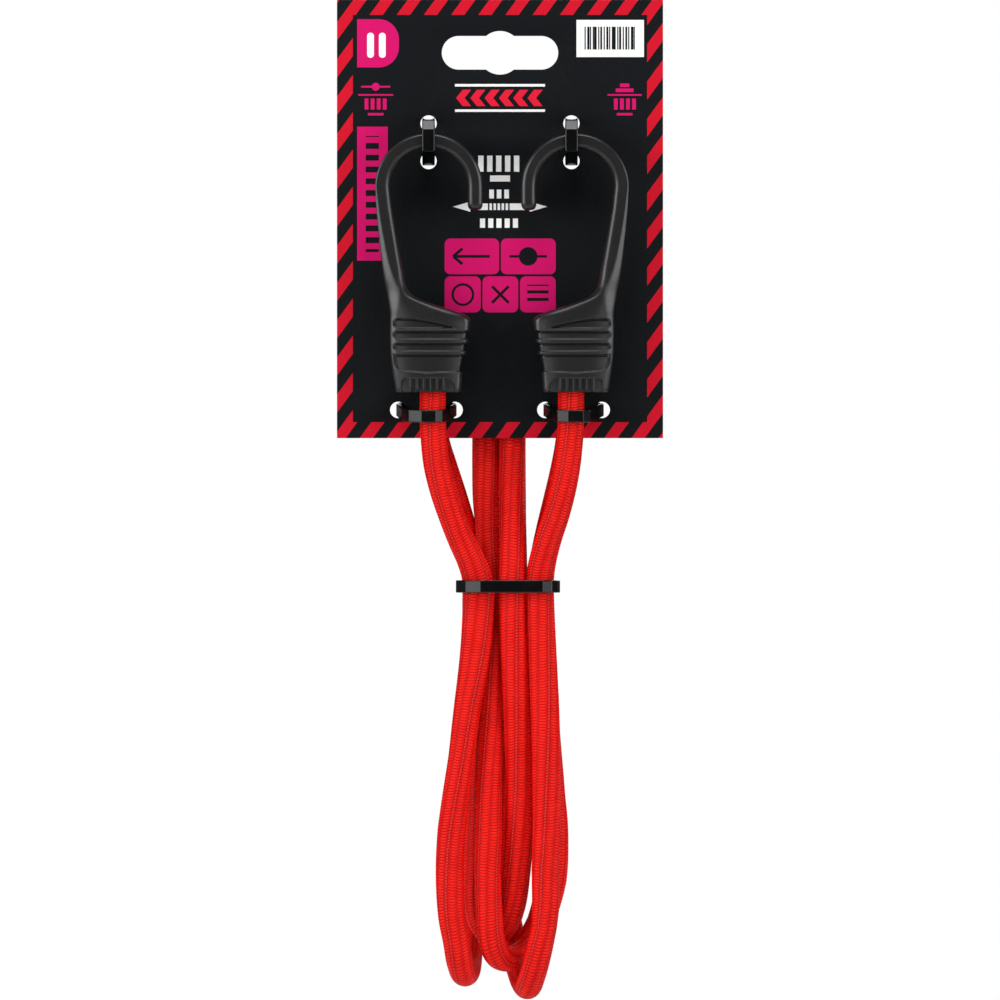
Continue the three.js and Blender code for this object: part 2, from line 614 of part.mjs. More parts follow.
// A closed tie: the strap as a belt in the X and Y plane, and on its straight run after one of the
// circles the ratchet head and the trimmed tail. All three are one moulding once the tie is closed.
function makeTie(circles, headAfter) {
  const band = new THREE.Shape(beltPoints(circles, tieThick));
  band.holes.push(new THREE.Path(beltPoints(circles, 0)));
  const loop = new THREE.ExtrudeGeometry(band, { depth: tieWidth, bevelEnabled: false });
  loop.translate(0, 0, -tieWidth / 2);
  const head = new THREE.Shape();
  head.moveTo(-headWidth / 2 + headRound, 0);
  head.absarc(headWidth / 2 - headRound, headRound, headRound, -Math.PI / 2, 0, false);
  head.absarc(headWidth / 2 - headRound, headDepth - headRound, headRound, 0, Math.PI / 2, false);
  head.absarc(-headWidth / 2 + headRound, headDepth - headRound, headRound, Math.PI / 2, Math.PI, false);
  head.absarc(-headWidth / 2 + headRound, headRound, headRound, Math.PI, 3 * Math.PI / 2, false);
  const block = new THREE.ExtrudeGeometry(head, { depth: headHeight, bevelEnabled: false, curveSegments: 2 });
  block.translate(0, tieThick / 2, -headHeight / 2);
  const tailReach = headWidth / 2 + tailLength;
  const tail = new THREE.BoxGeometry(tailReach, tieThick, tieWidth);
  tail.translate(tailReach / 2, headDepth / 2 + tieThick, 0);
  const next = (headAfter + 1) % circles.length;
  const outward = beltAngles(circles)[headAfter][1];
  const touch = (i) => new THREE.Vector2(Math.cos(outward), Math.sin(outward))
    .multiplyScalar(circles[i][2]).add(new THREE.Vector2(circles[i][0], circles[i][1]));
  const seat = touch(headAfter).lerp(touch(next), 1 / 2);
  for (const piece of [block, tail]) {
    piece.rotateZ(outward - Math.PI / 2);
    piece.translate(seat.x, seat.y, 0);
  }
  return geometryOf(Manifold.union([solidOf(loop), solidOf(block), solidOf(tail)]));
}

const tieSides = 16;
// The arch bends inside the width of its tie, so the tie leaves room for that below the wire.
const archInside = archRadius - wireWidth / 2;
const archSag = archInside - Math.sqrt(archInside * archInside - tieWidth * tieWidth / 4);
const wireTop = hookDrop - archTieDrop - gap + archTieRound;
const wireBottom = hookDrop + wireWidth + archSag - archTieDrop + gap - archTieRound;
const archTieY = hookY + wireDepth / 2 + archTieSlack - archTieRound;
const archTieReach = archHolesPitch / 2 - gap - cardTieRound;
const archCircles = [
  [-archTieReach, 0, cardTieRound],
  [wireTop, -archTieY, archTieRound],
  [wireBottom, -archTieY, archTieRound],
  [archTieReach, 0, cardTieRound],
  [wireBottom, archTieY, archTieRound],
  [wireTop, archTieY, archTieRound],
];
// The lower ties lie aslant, so their straps leave room for their own width at the cords.
const tilt = THREE.MathUtils.degToRad(tieTilt);
const cordTieRound = cordRadius + gap + tieWidth / 2 * Math.tan(tilt);
const cordTieY = hookY / Math.cos(tilt);
const cordTieReach = cordHolesPitch / 2 - tieThick / 2 - cardTieRound;
const tiePlaces = [['left', -1, hookLeft, leftTieSlack], ['right', 1, hookRight, rightTieSlack]];
for (const [where, side, hookX, slack] of tiePlaces) {
  const archTie = makeTie(archCircles, 4);
  archTie.rotateY(Math.PI / 2);
  add(`arch_tie_${where}`, archTie, tieMaterial, side * archHolesX, 0, -archTieDrop);
  const cordX = hookX - side * cordHolesX;
  const slackX = cordX + side * slack;
  const cordTie = makeTie([
    [-cordTieReach, 0, cardTieRound],
    [Math.min(cordX, slackX), -cordTieY, cordTieRound],
    [Math.max(cordX, slackX), -cordTieY, cordTieRound],
    [cordTieReach, 0, cardTieRound],
    [Math.max(cordX, slackX), cordTieY, cordTieRound],
    [Math.min(cordX, slackX), cordTieY, cordTieRound],
  ], 4);
  cordTie.rotateX(tilt);
  add(`cord_tie_${where}`, cordTie, tieMaterial, side * cordHolesX, 0, -cordTieDrop);
}

// The bundle tie goes round the cords' outermost runs at its height, found as their convex hull.
const crossings = sampled.flatMap((points) => points.slice(1).flatMap((point, i) => {
  const share = (-bundleDrop - points[i].z) / (point.z - points[i].z);
  return share >= 0 && share < 1 ? [points[i].clone().lerp(point, share)] : [];
}));
const leftOf = (a, b, p) => (b.x - a.x) * (p.y - a.y) - (b.y - a.y) * (p.x - a.x);
const outermost = [crossings.reduce((a, b) => (b.y < a.y ? b : a))];
for (;;) {
  const from = outermost.at(-1);
  const others = crossings.filter((p) => p !== from);
  const to = others.reduce((a, b) => (leftOf(from, a, b) < 0 ? b : a));
  if (to === outermost[0]) break;
  outermost.push(to);
}
const bundleCircles = outermost.map((p) => [p.x, p.y, cordRadius + bundleClear]);
const backmost = outermost.reduce((best, p, i) => (p.y > outermost[best].y ? i : best), 0);
add('bundle_tie', makeTie(bundleCircles, backmost - 1), tieMaterial, 0, 0, -bundleDrop);

export default group;
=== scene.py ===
import math
import bmesh
import bpy
import numpy as np
from mathutils import Matrix, Vector


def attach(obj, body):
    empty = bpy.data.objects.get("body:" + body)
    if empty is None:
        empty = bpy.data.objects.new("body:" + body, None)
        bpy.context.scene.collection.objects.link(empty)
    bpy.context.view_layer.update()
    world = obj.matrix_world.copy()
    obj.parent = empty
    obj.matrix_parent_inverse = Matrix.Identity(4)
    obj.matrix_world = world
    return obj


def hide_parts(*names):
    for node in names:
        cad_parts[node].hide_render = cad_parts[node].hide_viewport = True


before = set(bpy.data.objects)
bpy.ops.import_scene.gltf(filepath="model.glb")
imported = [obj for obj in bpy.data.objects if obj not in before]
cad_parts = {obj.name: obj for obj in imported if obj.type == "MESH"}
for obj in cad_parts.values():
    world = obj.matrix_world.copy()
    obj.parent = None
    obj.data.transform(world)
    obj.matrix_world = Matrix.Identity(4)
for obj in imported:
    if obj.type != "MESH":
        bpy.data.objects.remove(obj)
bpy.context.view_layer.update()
print("frame loaded")

mm = 0.001  # the pieces' sizes and places are in millimetres, and Blender's are in metres
weld = 1e-7  # metres, within which vertices become one

# Camera, in metres. One pixel of the photograph covers 0.28 mm at the card.

cameraValues = {
    "distance": 5.0,
    "frameWidth": 0.28,
    "middleZ": -0.13132,
    "sensorWidth": 36.0,
    "clipEnd": 50.0,
}


def makeCamera(values):
    lensData = bpy.data.cameras.new("camera")
    lensData.sensor_width = values["sensorWidth"]
    lensData.lens = values["sensorWidth"] * values["distance"] / values["frameWidth"]
    lensData.clip_end = values["clipEnd"]
    camera = bpy.data.objects.new("camera", lensData)
    camera.location = (0, -values["distance"], values["middleZ"])
    camera.rotation_euler = (math.pi / 2, 0, 0)
    bpy.context.scene.collection.objects.link(camera)
    bpy.context.scene.camera = camera


makeCamera(cameraValues)
print("camera placed")

# Shader helpers. A Term is one value in a node tree, and sums on it become Math nodes. In the pieces' values
# a noise is its scale, detail and roughness, a roughness is its least and what each pattern adds, and a bump
# is its distance in metres and its strength.


class Term:
    def __init__(self, graph, socket):
        self.graph = graph
        self.socket = socket

    def math(self, operation, *others):
        inputs = dict(enumerate([self, *others]))
        node = self.graph.node("ShaderNodeMath", {"operation": operation}, inputs)
        return Term(self.graph, node.outputs[0])

    def __add__(self, other):
        return self.math("ADD", other)

    def __radd__(self, other):
        return self.math("ADD", other)

    def __sub__(self, other):
        return self.math("SUBTRACT", other)

    def __rsub__(self, other):
        return self.math("MULTIPLY", -1.0).math("ADD", other)

    def __mul__(self, other):
        return self.math("MULTIPLY", other)

    def __truediv__(self, other):
        return self.math("DIVIDE", other)

    def __pow__(self, other):
        return self.math("POWER", other)

    def __abs__(self):
        return self.math("ABSOLUTE")

    def __lt__(self, other):
        return self.math("LESS_THAN", other)

    def __gt__(self, other):
        return self.math("GREATER_THAN", other)

    def fract(self):
        return self.math("FRACT")

    def cos(self):
        return self.math("COSINE")

    def sin(self):
        return self.math("SINE")

    def most(self, other):
        return self.math("MAXIMUM", other)

    def ramp(self, low, high):
        inputs = {"Value": self, "From Min": low, "From Max": high}
        settings = {"interpolation_type": "SMOOTHSTEP"}
        return Term(self.graph, self.graph.node("ShaderNodeMapRange", settings, inputs).outputs[0])


class Graph:
    def __init__(self, name):
        self.material = bpy.data.materials.new(name)
        self.material.use_nodes = True
        self.tree = self.material.node_tree
        self.tree.nodes.clear()
        self.shader = self.node("ShaderNodeBsdfPrincipled")
        output = self.node("ShaderNodeOutputMaterial")
        self.tree.links.new(self.shader.outputs[0], output.inputs["Surface"])

    def node(self, kind, settings=None, inputs=None):
        node = self.tree.nodes.new(kind)
        for name, value in (settings or {}).items():
            setattr(node, name, value)
        for name, value in (inputs or {}).items():
            self.put(node.inputs[name], value)
        return node

    def put(self, socket, value):
        if isinstance(value, Term):
            self.tree.links.new(value.socket, socket)
        else:
            socket.default_value = value

    def split(self, output):
        node = self.node("ShaderNodeSeparateXYZ", inputs={0: Term(self, output)})
        return [Term(self, socket) for socket in node.outputs]

    def places(self):
        return Term(self, self.node("ShaderNodeTexCoord").outputs["Object"])

    def surface(self):
        return self.split(self.node("ShaderNodeTexCoord").outputs["UV"])

    def noise(self, places, scale, detail, roughness=0.5):
        inputs = {"Vector": places, "Scale": scale, "Detail": detail, "Roughness": roughness}
        return Term(self, self.node("ShaderNodeTexNoise", inputs=inputs).outputs[0])

    def stretched(self, places, scale):
        node = self.node("ShaderNodeMapping", inputs={"Vector": places, "Scale": scale})
        return Term(self, node.outputs[0])

    def mix(self, share, low, high):
        settings = {"data_type": "RGBA"}
        node = self.node("ShaderNodeMix", settings, {0: share, 6: low, 7: high})
        return Term(self, node.outputs[2])

    def bump(self, height, distance, strength):
        inputs = {"Height": height, "Distance": distance, "Strength": strength}
        return Term(self, self.node("ShaderNodeBump", inputs=inputs).outputs[0])

    def finish(self, **values):
        for name, value in values.items():
            self.put(self.shader.inputs[name.replace("_", " ")], value)
        return self.material


def tint(red, green, blue):
    def linear(value):
        share = value / 255
        return share / 12.92 if share <= 0.04045 else ((share + 0.055) / 1.055) ** 2.4
    return (linear(red), linear(green), linear(blue), 1.0)


# Mesh helpers.


def place(name, mesh, material, body, slot, *nodes):
    piece = bpy.data.objects.new(name, mesh)
    bpy.context.scene.collection.objects.link(piece)
    mesh.materials.clear()
    mesh.materials.append(material)
    mesh.polygons.foreach_set("use_smooth", [True] * len(mesh.polygons))
    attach(piece, body)
    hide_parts(*nodes)
    return piece


# A grid is rolled up: its first way round becomes each ring and its second way the row of rings.
def skinOf(name, rows, looped=False):
    ringCount, sides = rows.shape[:2]
    along = ringCount if looped else ringCount - 1
    bm = bmesh.new()
    bm.loops.layers.uv.new("UVMap")
    bmesh.ops.create_grid(bm, x_segments=sides, y_segments=along, size=1, calc_uvs=True)
    mesh = bpy.data.meshes.new(name)
    bm.to_mesh(mesh)
    bm.free()
    flat = np.empty(3 * len(mesh.vertices))
    mesh.vertices.foreach_get("co", flat)
    flat = flat.reshape(-1, 3)
    column = np.rint((flat[:, 0] + 1) / 2 * sides).astype(int) % sides
    row = np.rint((flat[:, 1] + 1) / 2 * along).astype(int) % ringCount
    mesh.vertices.foreach_set("co", rows[row, column].ravel())
    bm = bmesh.new()
    bm.from_mesh(mesh)
    bmesh.ops.remove_doubles(bm, verts=[v for v in bm.verts if v.is_boundary], dist=weld)
    bmesh.ops.holes_fill(bm, edges=[e for e in bm.edges if e.is_boundary], sides=0)
    bmesh.ops.recalc_face_normals(bm, faces=bm.faces)
    bm.to_mesh(mesh)
    bm.free()
    return mesh


def unit(vectors):
    return vectors / np.linalg.norm(vectors, axis=-1, keepdims=True)


def smoothStep(values, low, high):
    share = np.clip((values - low) / (high - low), 0, 1)
    return share * share * (3 - 2 * share)


# Cords. The routes are those of the solids, in millimetres. Widths across the braid are shares of a column.

cordValues = {
    "diameter": 7.2,
    "surface": 3.7,
    "spanSteps": 60,
    "ringStep": 0.267,
    "sides": 36,
    "turnsEach": 1.4,
    # two fields of ribs and a band of stitches in each column round the cord
    "columns": 4,
    "field": 0.425,
    "ribPitch": 0.8,
    "ribRise": 0.05,
    "ribPower": 0.7,
    "arches": (3, 9),  # how far the ribs of each field bow
    "lean": 0.9,
    "changes": 19,  # how often the ribs change their lean
    "bulge": 2.2,
    "bandEdge": (0.085, 0.065),
    "stitchAlong": (0.2, 0.85),
    "stitchAcross": (0.06, 0.02),
    "fieldNick": (0.022, 0.006),
    "bandNick": ((0.1, 0.085), (0.06, 0.075)),
    "nickDepth": 0.45,
    "threads": 5,
    "threadDepth": 0.06,
    "fuzz": (3000, 2),
    "fuzzDepth": 0.1,
    "patches": (170, 3),
    # the colour is painted from the relief: painted shade in the hollows between the ribs, a painted
    # highlight on their crests, and a random tone from the patches
    "heightShare": 0.75,
    "patchShare": 0.3,
    "paintedShadeRamp": (0.1, 0.6),
    "litRamp": (0.6, 1.0),
    "roughness": (0.45, 0.2),
    "shine": 0.14,
    "bump": (0.00016, 0.8),
    "lit": tint(255, 36, 24),
    "middle": tint(220, 9, 4),
    "deep": tint(162, 0, 0),
    # a painted highlight on the crests of the stitches
    "stitchHighlight": tint(236, 50, 42),
}

# Where the folds press on one another a cord is wider: how far along, half its width, and its shift across.
firstWidths = [
    (0, 3.7, 0), (60, 3.7, 0), (70, 4.1, 0.4), (77, 4.58, 0.95), (90, 4.4, 0.8), (101, 4.1, 0.5),
    (109, 3.8, 0.3), (124, 3.65, 0.2), (144, 3.95, -0.15), (160, 3.95, 0), (185, 3.75, 0), (365, 3.7, 0),
    (374, 3.6, 0.25), (400, 3.65, 0.2), (440, 3.75, 0), (465, 3.8, 0.1), (485, 3.9, 0.3), (497, 3.75, 0),
    (505, 3.75, -0.2), (511, 3.85, -0.8), (516, 3.9, -1.4), (521, 3.9, -1.8), (526, 3.9, -1.3),
    (531, 3.8, -0.3), (540, 3.95, 1.05), (552, 4.15, 1.05), (562, 4.15, 0.3), (575, 3.9, 0), (620, 3.7, 0),
]
secondWidths = [
    (0, 3.7, 0), (62, 3.75, -0.1), (76, 4.06, -0.3), (90, 4.05, -0.1), (106, 4.1, 0.1), (125, 4.05, 0.1),
    (143, 3.9, 0), (154, 3.9, -0.2), (159, 3.9, 0.1), (165, 3.85, 0.6), (170, 3.6, 0.9), (178, 3.7, 0.4),
    (186, 3.7, 0), (413, 3.7, 0), (425, 3.8, 0.1), (440, 3.9, 0.2), (465, 3.95, 0.1), (490, 4.1, 0.15),
    (503, 3.85, -0.25), (512, 3.7, -0.2), (522, 3.7, 0),
]

firstRoute = [
    (-18.8, -8.5, -82), (-18.8, -8.5, -92), (-18.8, -8.5, -101.2), (-18.8, -8.5, -108),
    (-18.5, -8.4, -114.5), (-17.7, -8.3, -121.5), (-16, -8, -128.5), (-13.8, -7.3, -135),
    (-10.9, -6.2, -142.5), (-8.2, -5, -148.8), (-7, -4.5, -153.5), (-6.9, -4.5, -160),
    (-7.2, -4.7, -168), (-8, -5.3, -178), (-9.4, -6, -189), (-11, -6.7, -203), (-12.7, -7.2, -217),
    (-13.8, -7.6, -229), (-14, -7.8, -239), (-13.4, -7.8, -248), (-12.2, -7.2, -254.6),
    (-11.3, -5, -260.2), (-10.4, -1.6, -263.2), (-9.7, 2.4, -263.9), (-9.1, 6.6, -262.8),
    (-8.7, 10.2, -259.6), (-8.6, 12.5, -254.5), (-9.2, 13.2, -247), (-10.6, 13.3, -236),
    (-11.6, 13.5, -222), (-11, 13.9, -207), (-8.6, 15, -192), (-5, 15.6, -179), (-2.2, 14.2, -168.5),
    (-1.2, 13.4, -160), (-1.2, 13.4, -153.5), (-1.8, 14.1, -147), (-3.2, 16.1, -139),
    (-4, 19, -130.5), (-4.15, 21.8, -122.5), (-4.15, 22.8, -115.5), (-4.15, 21.7, -111),
    (-4.15, 18.7, -107.6), (-4.15, 14.7, -106.4), (-4.15, 10.8, -107.6), (-4.05, 7.9, -111),
    (-3.95, 6.8, -115.5), (-3.85, 6.5, -121.5), (-3.8, 5.7, -128.5), (-3.65, 4.6, -135.5),
    (-3.3, 3.1, -142.5), (-2.6, 2.1, -149), (-2.2, 1.8, -154), (-2.2, 1.8, -160),
    (-2.2, 1.5, -168), (-2.3, 0.8, -179), (-2.5, -0.3, -190), (-3, -2, -202), (-3.5, -4, -214),
    (-3.6, -5.6, -225), (-3.5, -6.6, -235), (-2.9, -7.1, -244.5), (-1.9, -7, -251.5),
    (-0.5, -6, -255.9), (1.4, -3.6, -258.8), (3.6, -0.5, -259.7), (5.9, 2.8, -258.6),
    (8, 5.6, -255.6), (9.8, 7.5, -251.2), (11.5, 8.6, -246), (13.2, 9.1, -239.5),
    (14.5, 9.2, -231.5), (14.9, 9, -222.5), (14.2, 8.4, -211), (13.2, 7.4, -198.5),
    (12.2, 6, -184.5), (11.5, 4.5, -171), (11.2, 3.4, -160.5), (11.2, 3.3, -153.5),
    (12.3, 4, -146.5), (13.8, 5.2, -139.5), (15.6, 6.4, -132), (17.4, 7.4, -124.5),
    (18.9, 8.2, -117), (19.7, 8.5, -110.5), (19.9, 8.5, -106), (19.9, 8.5, -101.2),
    (19.9, 8.5, -92), (19.9, 8.5, -82),
]
secondRoute = [
    (19.9, -8.5, -82), (19.9, -8.5, -92), (19.9, -8.5, -101.2), (19.9, -8.5, -108),
    (19.6, -8.4, -114.5), (18.8, -8.3, -122), (17.5, -8, -129), (15.8, -7.3, -135.5),
    (13.7, -6.3, -142), (12.1, -5.1, -148.4), (11.4, -4.5, -153.5), (11.4, -4.5, -160),
    (11.7, -4.8, -170), (12.2, -5.5, -184), (12.7, -6.3, -198), (12.9, -6.9, -211),
    (13, -7.4, -223.5), (12.9, -7.8, -234), (12.4, -8.1, -243), (11.4, -8.1, -251),
    (10.4, -7.3, -257.6), (9.4, -5.2, -262.8), (8.5, -2, -266.2), (7.7, 2.1, -267.5),
    (6.7, 6.3, -266.4), (5.5, 9.9, -263.1), (4.2, 12.1, -258.2), (2.9, 12.8, -252),
    (1.7, 12.4, -245.5), (0.9, 11.7, -237), (0.6, 11.1, -227), (0.7, 10.6, -215),
    (1.4, 9.8, -200.5), (2.3, 8.9, -187), (3.3, 7.7, -173.5), (4, 6.7, -161.5), (4, 6.7, -153.5),
    (3.9, 8, -147), (3.7, 11, -138.5), (3.6, 15.2, -130), (3.55, 18.9, -122.5),
    (3.55, 20.3, -115.5), (3.55, 19.2, -111), (3.55, 16.2, -107.6), (3.55, 12.3, -106.4),
    (3.55, 8.4, -107.6), (3.5, 5.4, -111), (3.35, 4.3, -115.5), (3.3, 4.2, -119.5),
    (3.25, 3, -126.5), (3.3, 0.6, -133.5), (3.4, -2, -140.5), (3.45, -4, -147.5),
    (3.4, -4.5, -153.5), (3.4, -4.5, -160), (3.7, -4.3, -172), (4.4, -3.7, -186),
    (5.1, -3.1, -200), (5.5, -2.9, -212), (5.3, -2.8, -224), (5, -2.6, -233.5), (4.5, -2.3, -240),
    (3.5, -1.7, -245.5), (1.6, 0.2, -249.9), (-1, 2, -252.2), (-3.7, 3.6, -251.6),
    (-5.7, 4.7, -248.2), (-6.5, 5, -242.8), (-6.5, 5.3, -235), (-6.4, 5.7, -223),
    (-6.3, 6.2, -209), (-6.4, 6.8, -195), (-6.7, 7.4, -181), (-6.9, 7.9, -168), (-6.9, 8, -160),
    (-6.9, 8, -154), (-7.6, 8.4, -148.5), (-9.2, 8.9, -142.5), (-11.3, 9, -135.5),
    (-13.3, 8.9, -129), (-15.6, 8.8, -122), (-17.5, 8.6, -116), (-18.6, 8.5, -110.5),
    (-18.8, 8.5, -106), (-18.8, 8.5, -101.2), (-18.8, 8.5, -92), (-18.8, 8.5, -82),
]


# A centripetal Catmull-Rom curve through the route, then even steps along it.
def centreLine(route, values):
    points = np.array(route, float) * mm
    points = np.vstack([2 * points[0] - points[1], points, 2 * points[-1] - points[-2]])
    shares = np.linspace(0, 1, values["spanSteps"], endpoint=False)[:, None]
    pieces = []
    for a, b, c, d in zip(points, points[1:], points[2:], points[3:]):
        before, between, after = (np.linalg.norm(q - p) ** 0.5 for p, q in ((a, b), (b, c), (c, d)))
        leave = (b - a) / before - (c - a) / (before + between) + (c - b) / between
        arrive = (c - b) / between - (d - b) / (between + after) + (d - c) / after
        leave, arrive = leave * between, arrive * between
        square = -3 * b + 3 * c - 2 * leave - arrive
        cube = 2 * b - 2 * c + leave + arrive
        pieces.append(b + leave * shares + square * shares ** 2 + cube * shares ** 3)
    fine = np.vstack([*pieces, points[-2:-1]])
    far = np.concatenate([[0], np.cumsum(np.linalg.norm(np.diff(fine, axis=0), axis=1))])
    even = np.linspace(0, far[-1], round(far[-1] / (values["ringStep"] * mm)) + 1)
    return np.stack([np.interp(even, far, fine[:, k]) for k in range(3)], axis=1), even


# Directions across the line, turned as little as can be from one ring to the next.
def crossways(centres):
    tangents = unit(np.gradient(centres, axis=0))
    sides = np.empty_like(centres)
    side = np.array([1.0, 0.0, 0.0])
    for i, tangent in enumerate(tangents):
        side = side - side.dot(tangent) * tangent
        side = side / np.linalg.norm(side)
        sides[i] = side
    return sides, np.cross(tangents, sides)


# Ribs lie across wide fields, half a rib out of step with their neighbours, and a band of stitches
# follows each pair.
def braidMaterial(name, values, length):
    graph = Graph(name)
    u, v, _ = graph.surface()
    field = values["field"]
    flatter, rounder = values["arches"]
    ribCount = length / (values["ribPitch"] * mm)
    across = (u * values["columns"]).fract()
    second = across > field
    aside = across - field * 0.5 - second * field
    lean = (v * (2 * math.pi * values["changes"])).sin() * values["lean"]
    ribs = v * ribCount + second * 0.5 + aside * lean
    ribs = ribs + aside * aside * (second * (rounder - flatter) + flatter)
    rib = abs((ribs * math.pi).sin())
    bulge = 1.0 - aside * aside * (values["bulge"] / field ** 2)
    fromBand = abs(across - (1 + 2 * field) / 2)
    band = fromBand.ramp(*values["bandEdge"])
    stitch = abs((v * (math.pi * ribCount)).cos()).ramp(*values["stitchAlong"])
    stitch = stitch * fromBand.ramp(*values["stitchAcross"])
    outerNick, innerNick = (fromBand.ramp(*limits) for limits in values["bandNick"])
    nick = abs(across - field).ramp(*values["fieldNick"]) + outerNick * innerNick
    threads = abs((ribs * (math.pi * values["threads"])).sin())
    places = graph.places()
    patches = graph.noise(places, *values["patches"])
    fuzz = graph.noise(places, *values["fuzz"])
    height = rib ** values["ribPower"] * bulge * (1.0 - band) + stitch * band
    height = height * (1.0 - nick * values["nickDepth"])
    height = height + threads * values["threadDepth"] + fuzz * values["fuzzDepth"]
    # The colour is painted from the height: painted shade in the hollows, a painted highlight on the crests,
    # and a random tone from the patches.
    share = height * values["heightShare"] + patches * values["patchShare"]
    shade = graph.mix(share.ramp(*values["paintedShadeRamp"]), values["deep"], values["middle"])
    colour = graph.mix(share.ramp(*values["litRamp"]), shade, values["lit"])
    # The crests of the stitches get a painted highlight.
    colour = graph.mix(stitch * band, colour, values["stitchHighlight"])
    rough, fuzzy = values["roughness"]
    return graph.finish(
        Base_Color=colour, Roughness=rough + fuzz * fuzzy, Specular_IOR_Level=values["shine"],
        Normal=graph.bump(height, *values["bump"]))


def makeCord(title, route, widths, values):
    centres, far = centreLine(route, values)
    along, halves, shifts = np.array(widths).T
    half = np.interp(far / mm, along, halves)
    centres[:, 0] += np.interp(far / mm, along, shifts) * mm
    sides, thirds = crossways(centres)
    around = np.arange(values["sides"]) / values["sides"]
    angle = 2 * np.pi * around + 2 * np.pi * values["turnsEach"] * (far / far[-1])[:, None]
    # The surface rises and falls with the ribs that the material draws.
    across = (around * values["columns"]) % 1
    second = across > values["field"]
    aside = np.minimum(across - values["field"] * (0.5 + second), values["field"] / 2)
    flatter, rounder = values["arches"]
    arch = np.where(second, rounder, flatter)
    ribs = far[:, None] / (values["ribPitch"] * mm) + second * 0.5 + arch * aside ** 2
    radius = values["surface"] + values["ribRise"] * (np.abs(np.sin(np.pi * ribs)) - 1)
    offsets = radius[..., None] * (
        np.cos(angle)[..., None] * sides[:, None] + np.sin(angle)[..., None] * thirds[:, None])
    # Where a cord is pressed wider, it is thinner from front to back by half as much.
    wider = half / values["surface"]
    offsets *= np.stack([wider, 1.5 - wider / 2, np.ones_like(wider)], axis=1)[:, None]
    name = f"cord_{title}"
    mesh = skinOf(name, centres[:, None] + offsets * mm)
    material = braidMaterial(f"braid_{title}", values, float(far[-1]))
    piece = place(name, mesh, material, "card", "braid", f"cord_sheath_{title}", f"cord_core_{title}")
    values["diameter"] * mm
    return far[-1]


for title, route, widths in (("first", firstRoute, firstWidths), ("second", secondRoute, secondWidths)):
    reach = makeCord(title, route, widths, cordValues)
    print(f"{title} cord made, {reach:.3f} m")

# Header card. Places on it are given in millimetres from the top of the hang slot.

cardValues = {
    "halfWidth": 45.65,
    "top": 8.8,
    "bottom": -114.0,
    "thick": 0.5,
    "edgeRound": 0.06,
    "slotHalf": 16.3,
    "slotEnd": 4.7,
    "pegRadius": 6.1,
    "tieHole": 2.3,
    "archHoles": (20, -31.15, 5.25),
    "cordHoles": (20.6, -106.1, 7.9),
    "stripeSide": 4.45,
    "stripeTop": 4.3,
    "stripeFoot": 4.5,
    "stripePitch": 7.61,
    "stripeSlope": 0.73,
    "stripeShare": 0.49,
    "stripeStart": 0.233,
    "black": tint(17, 20, 23),
    "red": tint(208, 18, 42),
    "magenta": tint(212, 16, 105),
    "white": tint(248, 248, 246),
    "bright": tint(226, 30, 58),
    "fibre": tint(110, 112, 114),
    "fibreNoise": (900, 3),
    "fibreShow": ((0.3, 0.8), 0.01),
    "roughness": (0.6, 0.12),
    "shine": 0.08,
    "bump": (0.00002, 0.4),
}


def arc(x, y, radius, start, end, steps=24):
    angles = np.radians(np.linspace(start, end, steps + 1))
    return [(x + radius * math.cos(a), y + radius * math.sin(a)) for a in angles]


# A full circle, its last point one step short of its first.
def hole(x, y, radius, count=24):
    return arc(x, y, radius, 0, 360 - 360 / count, count - 1)


def cardOutlines(values):
    half, top, bottom = values["halfWidth"], values["top"], values["bottom"]
    outlines = [[(-half, bottom), (half, bottom), (half, top), (-half, top)]]
    peg, end = values["pegRadius"], values["slotEnd"]
    reach = values["slotHalf"] - end
    rise = math.degrees(math.asin(end / peg))
    outlines.append([
        *arc(reach, -peg, end, -90, 90), *arc(0, -peg, peg, rise, 180 - rise),
        *arc(-reach, -peg, end, 90, 270), *arc(0, -peg, peg, 180 + rise, 360 - rise)])
    archX, archZ, archHalf = values["archHoles"]
    cordX, cordZ, cordHalf = values["cordHoles"]
    for side in (-1, 1):
        for way in (-1, 1):
            outlines.append(hole(side * archX, archZ + way * archHalf, values["tieHole"]))
            outlines.append(hole(side * cordX + way * cordHalf, cordZ, values["tieHole"]))
    return outlines


# A flat shape drawn across and up becomes a plate standing in X and Z, its middle at y = 0.
def plateOf(name, outlines, thick, edge):
    curve = bpy.data.curves.new(name, "CURVE")
    curve.dimensions = "2D"
    curve.fill_mode = "BOTH"
    for outline in outlines:
        spline = curve.splines.new("POLY")
        spline.points.add(len(outline) - 1)
        for point, (x, y) in zip(spline.points, outline):
            point.co = (x * mm, y * mm, 0, 1)
        spline.use_cyclic_u = True
    curve.extrude = (thick / 2 - edge) * mm
    curve.bevel_depth = edge * mm
    curve.bevel_resolution = 1
    curve.offset = -edge * mm
    holder = bpy.data.objects.new(name, curve)
    bpy.context.scene.collection.objects.link(holder)
    evaluated = holder.evaluated_get(bpy.context.evaluated_depsgraph_get())
    mesh = bpy.data.meshes.new_from_object(evaluated)
    bpy.data.objects.remove(holder)
    bpy.data.curves.remove(curve)
    bm = bmesh.new()
    bm.from_mesh(mesh)
    bmesh.ops.remove_doubles(bm, verts=bm.verts, dist=weld)
    bmesh.ops.recalc_face_normals(bm, faces=bm.faces)
    bmesh.ops.rotate(bm, verts=bm.verts, cent=(0, 0, 0), matrix=Matrix.Rotation(math.pi / 2, 3, "X"))
    bm.to_mesh(mesh)
    bm.free()
    return mesh


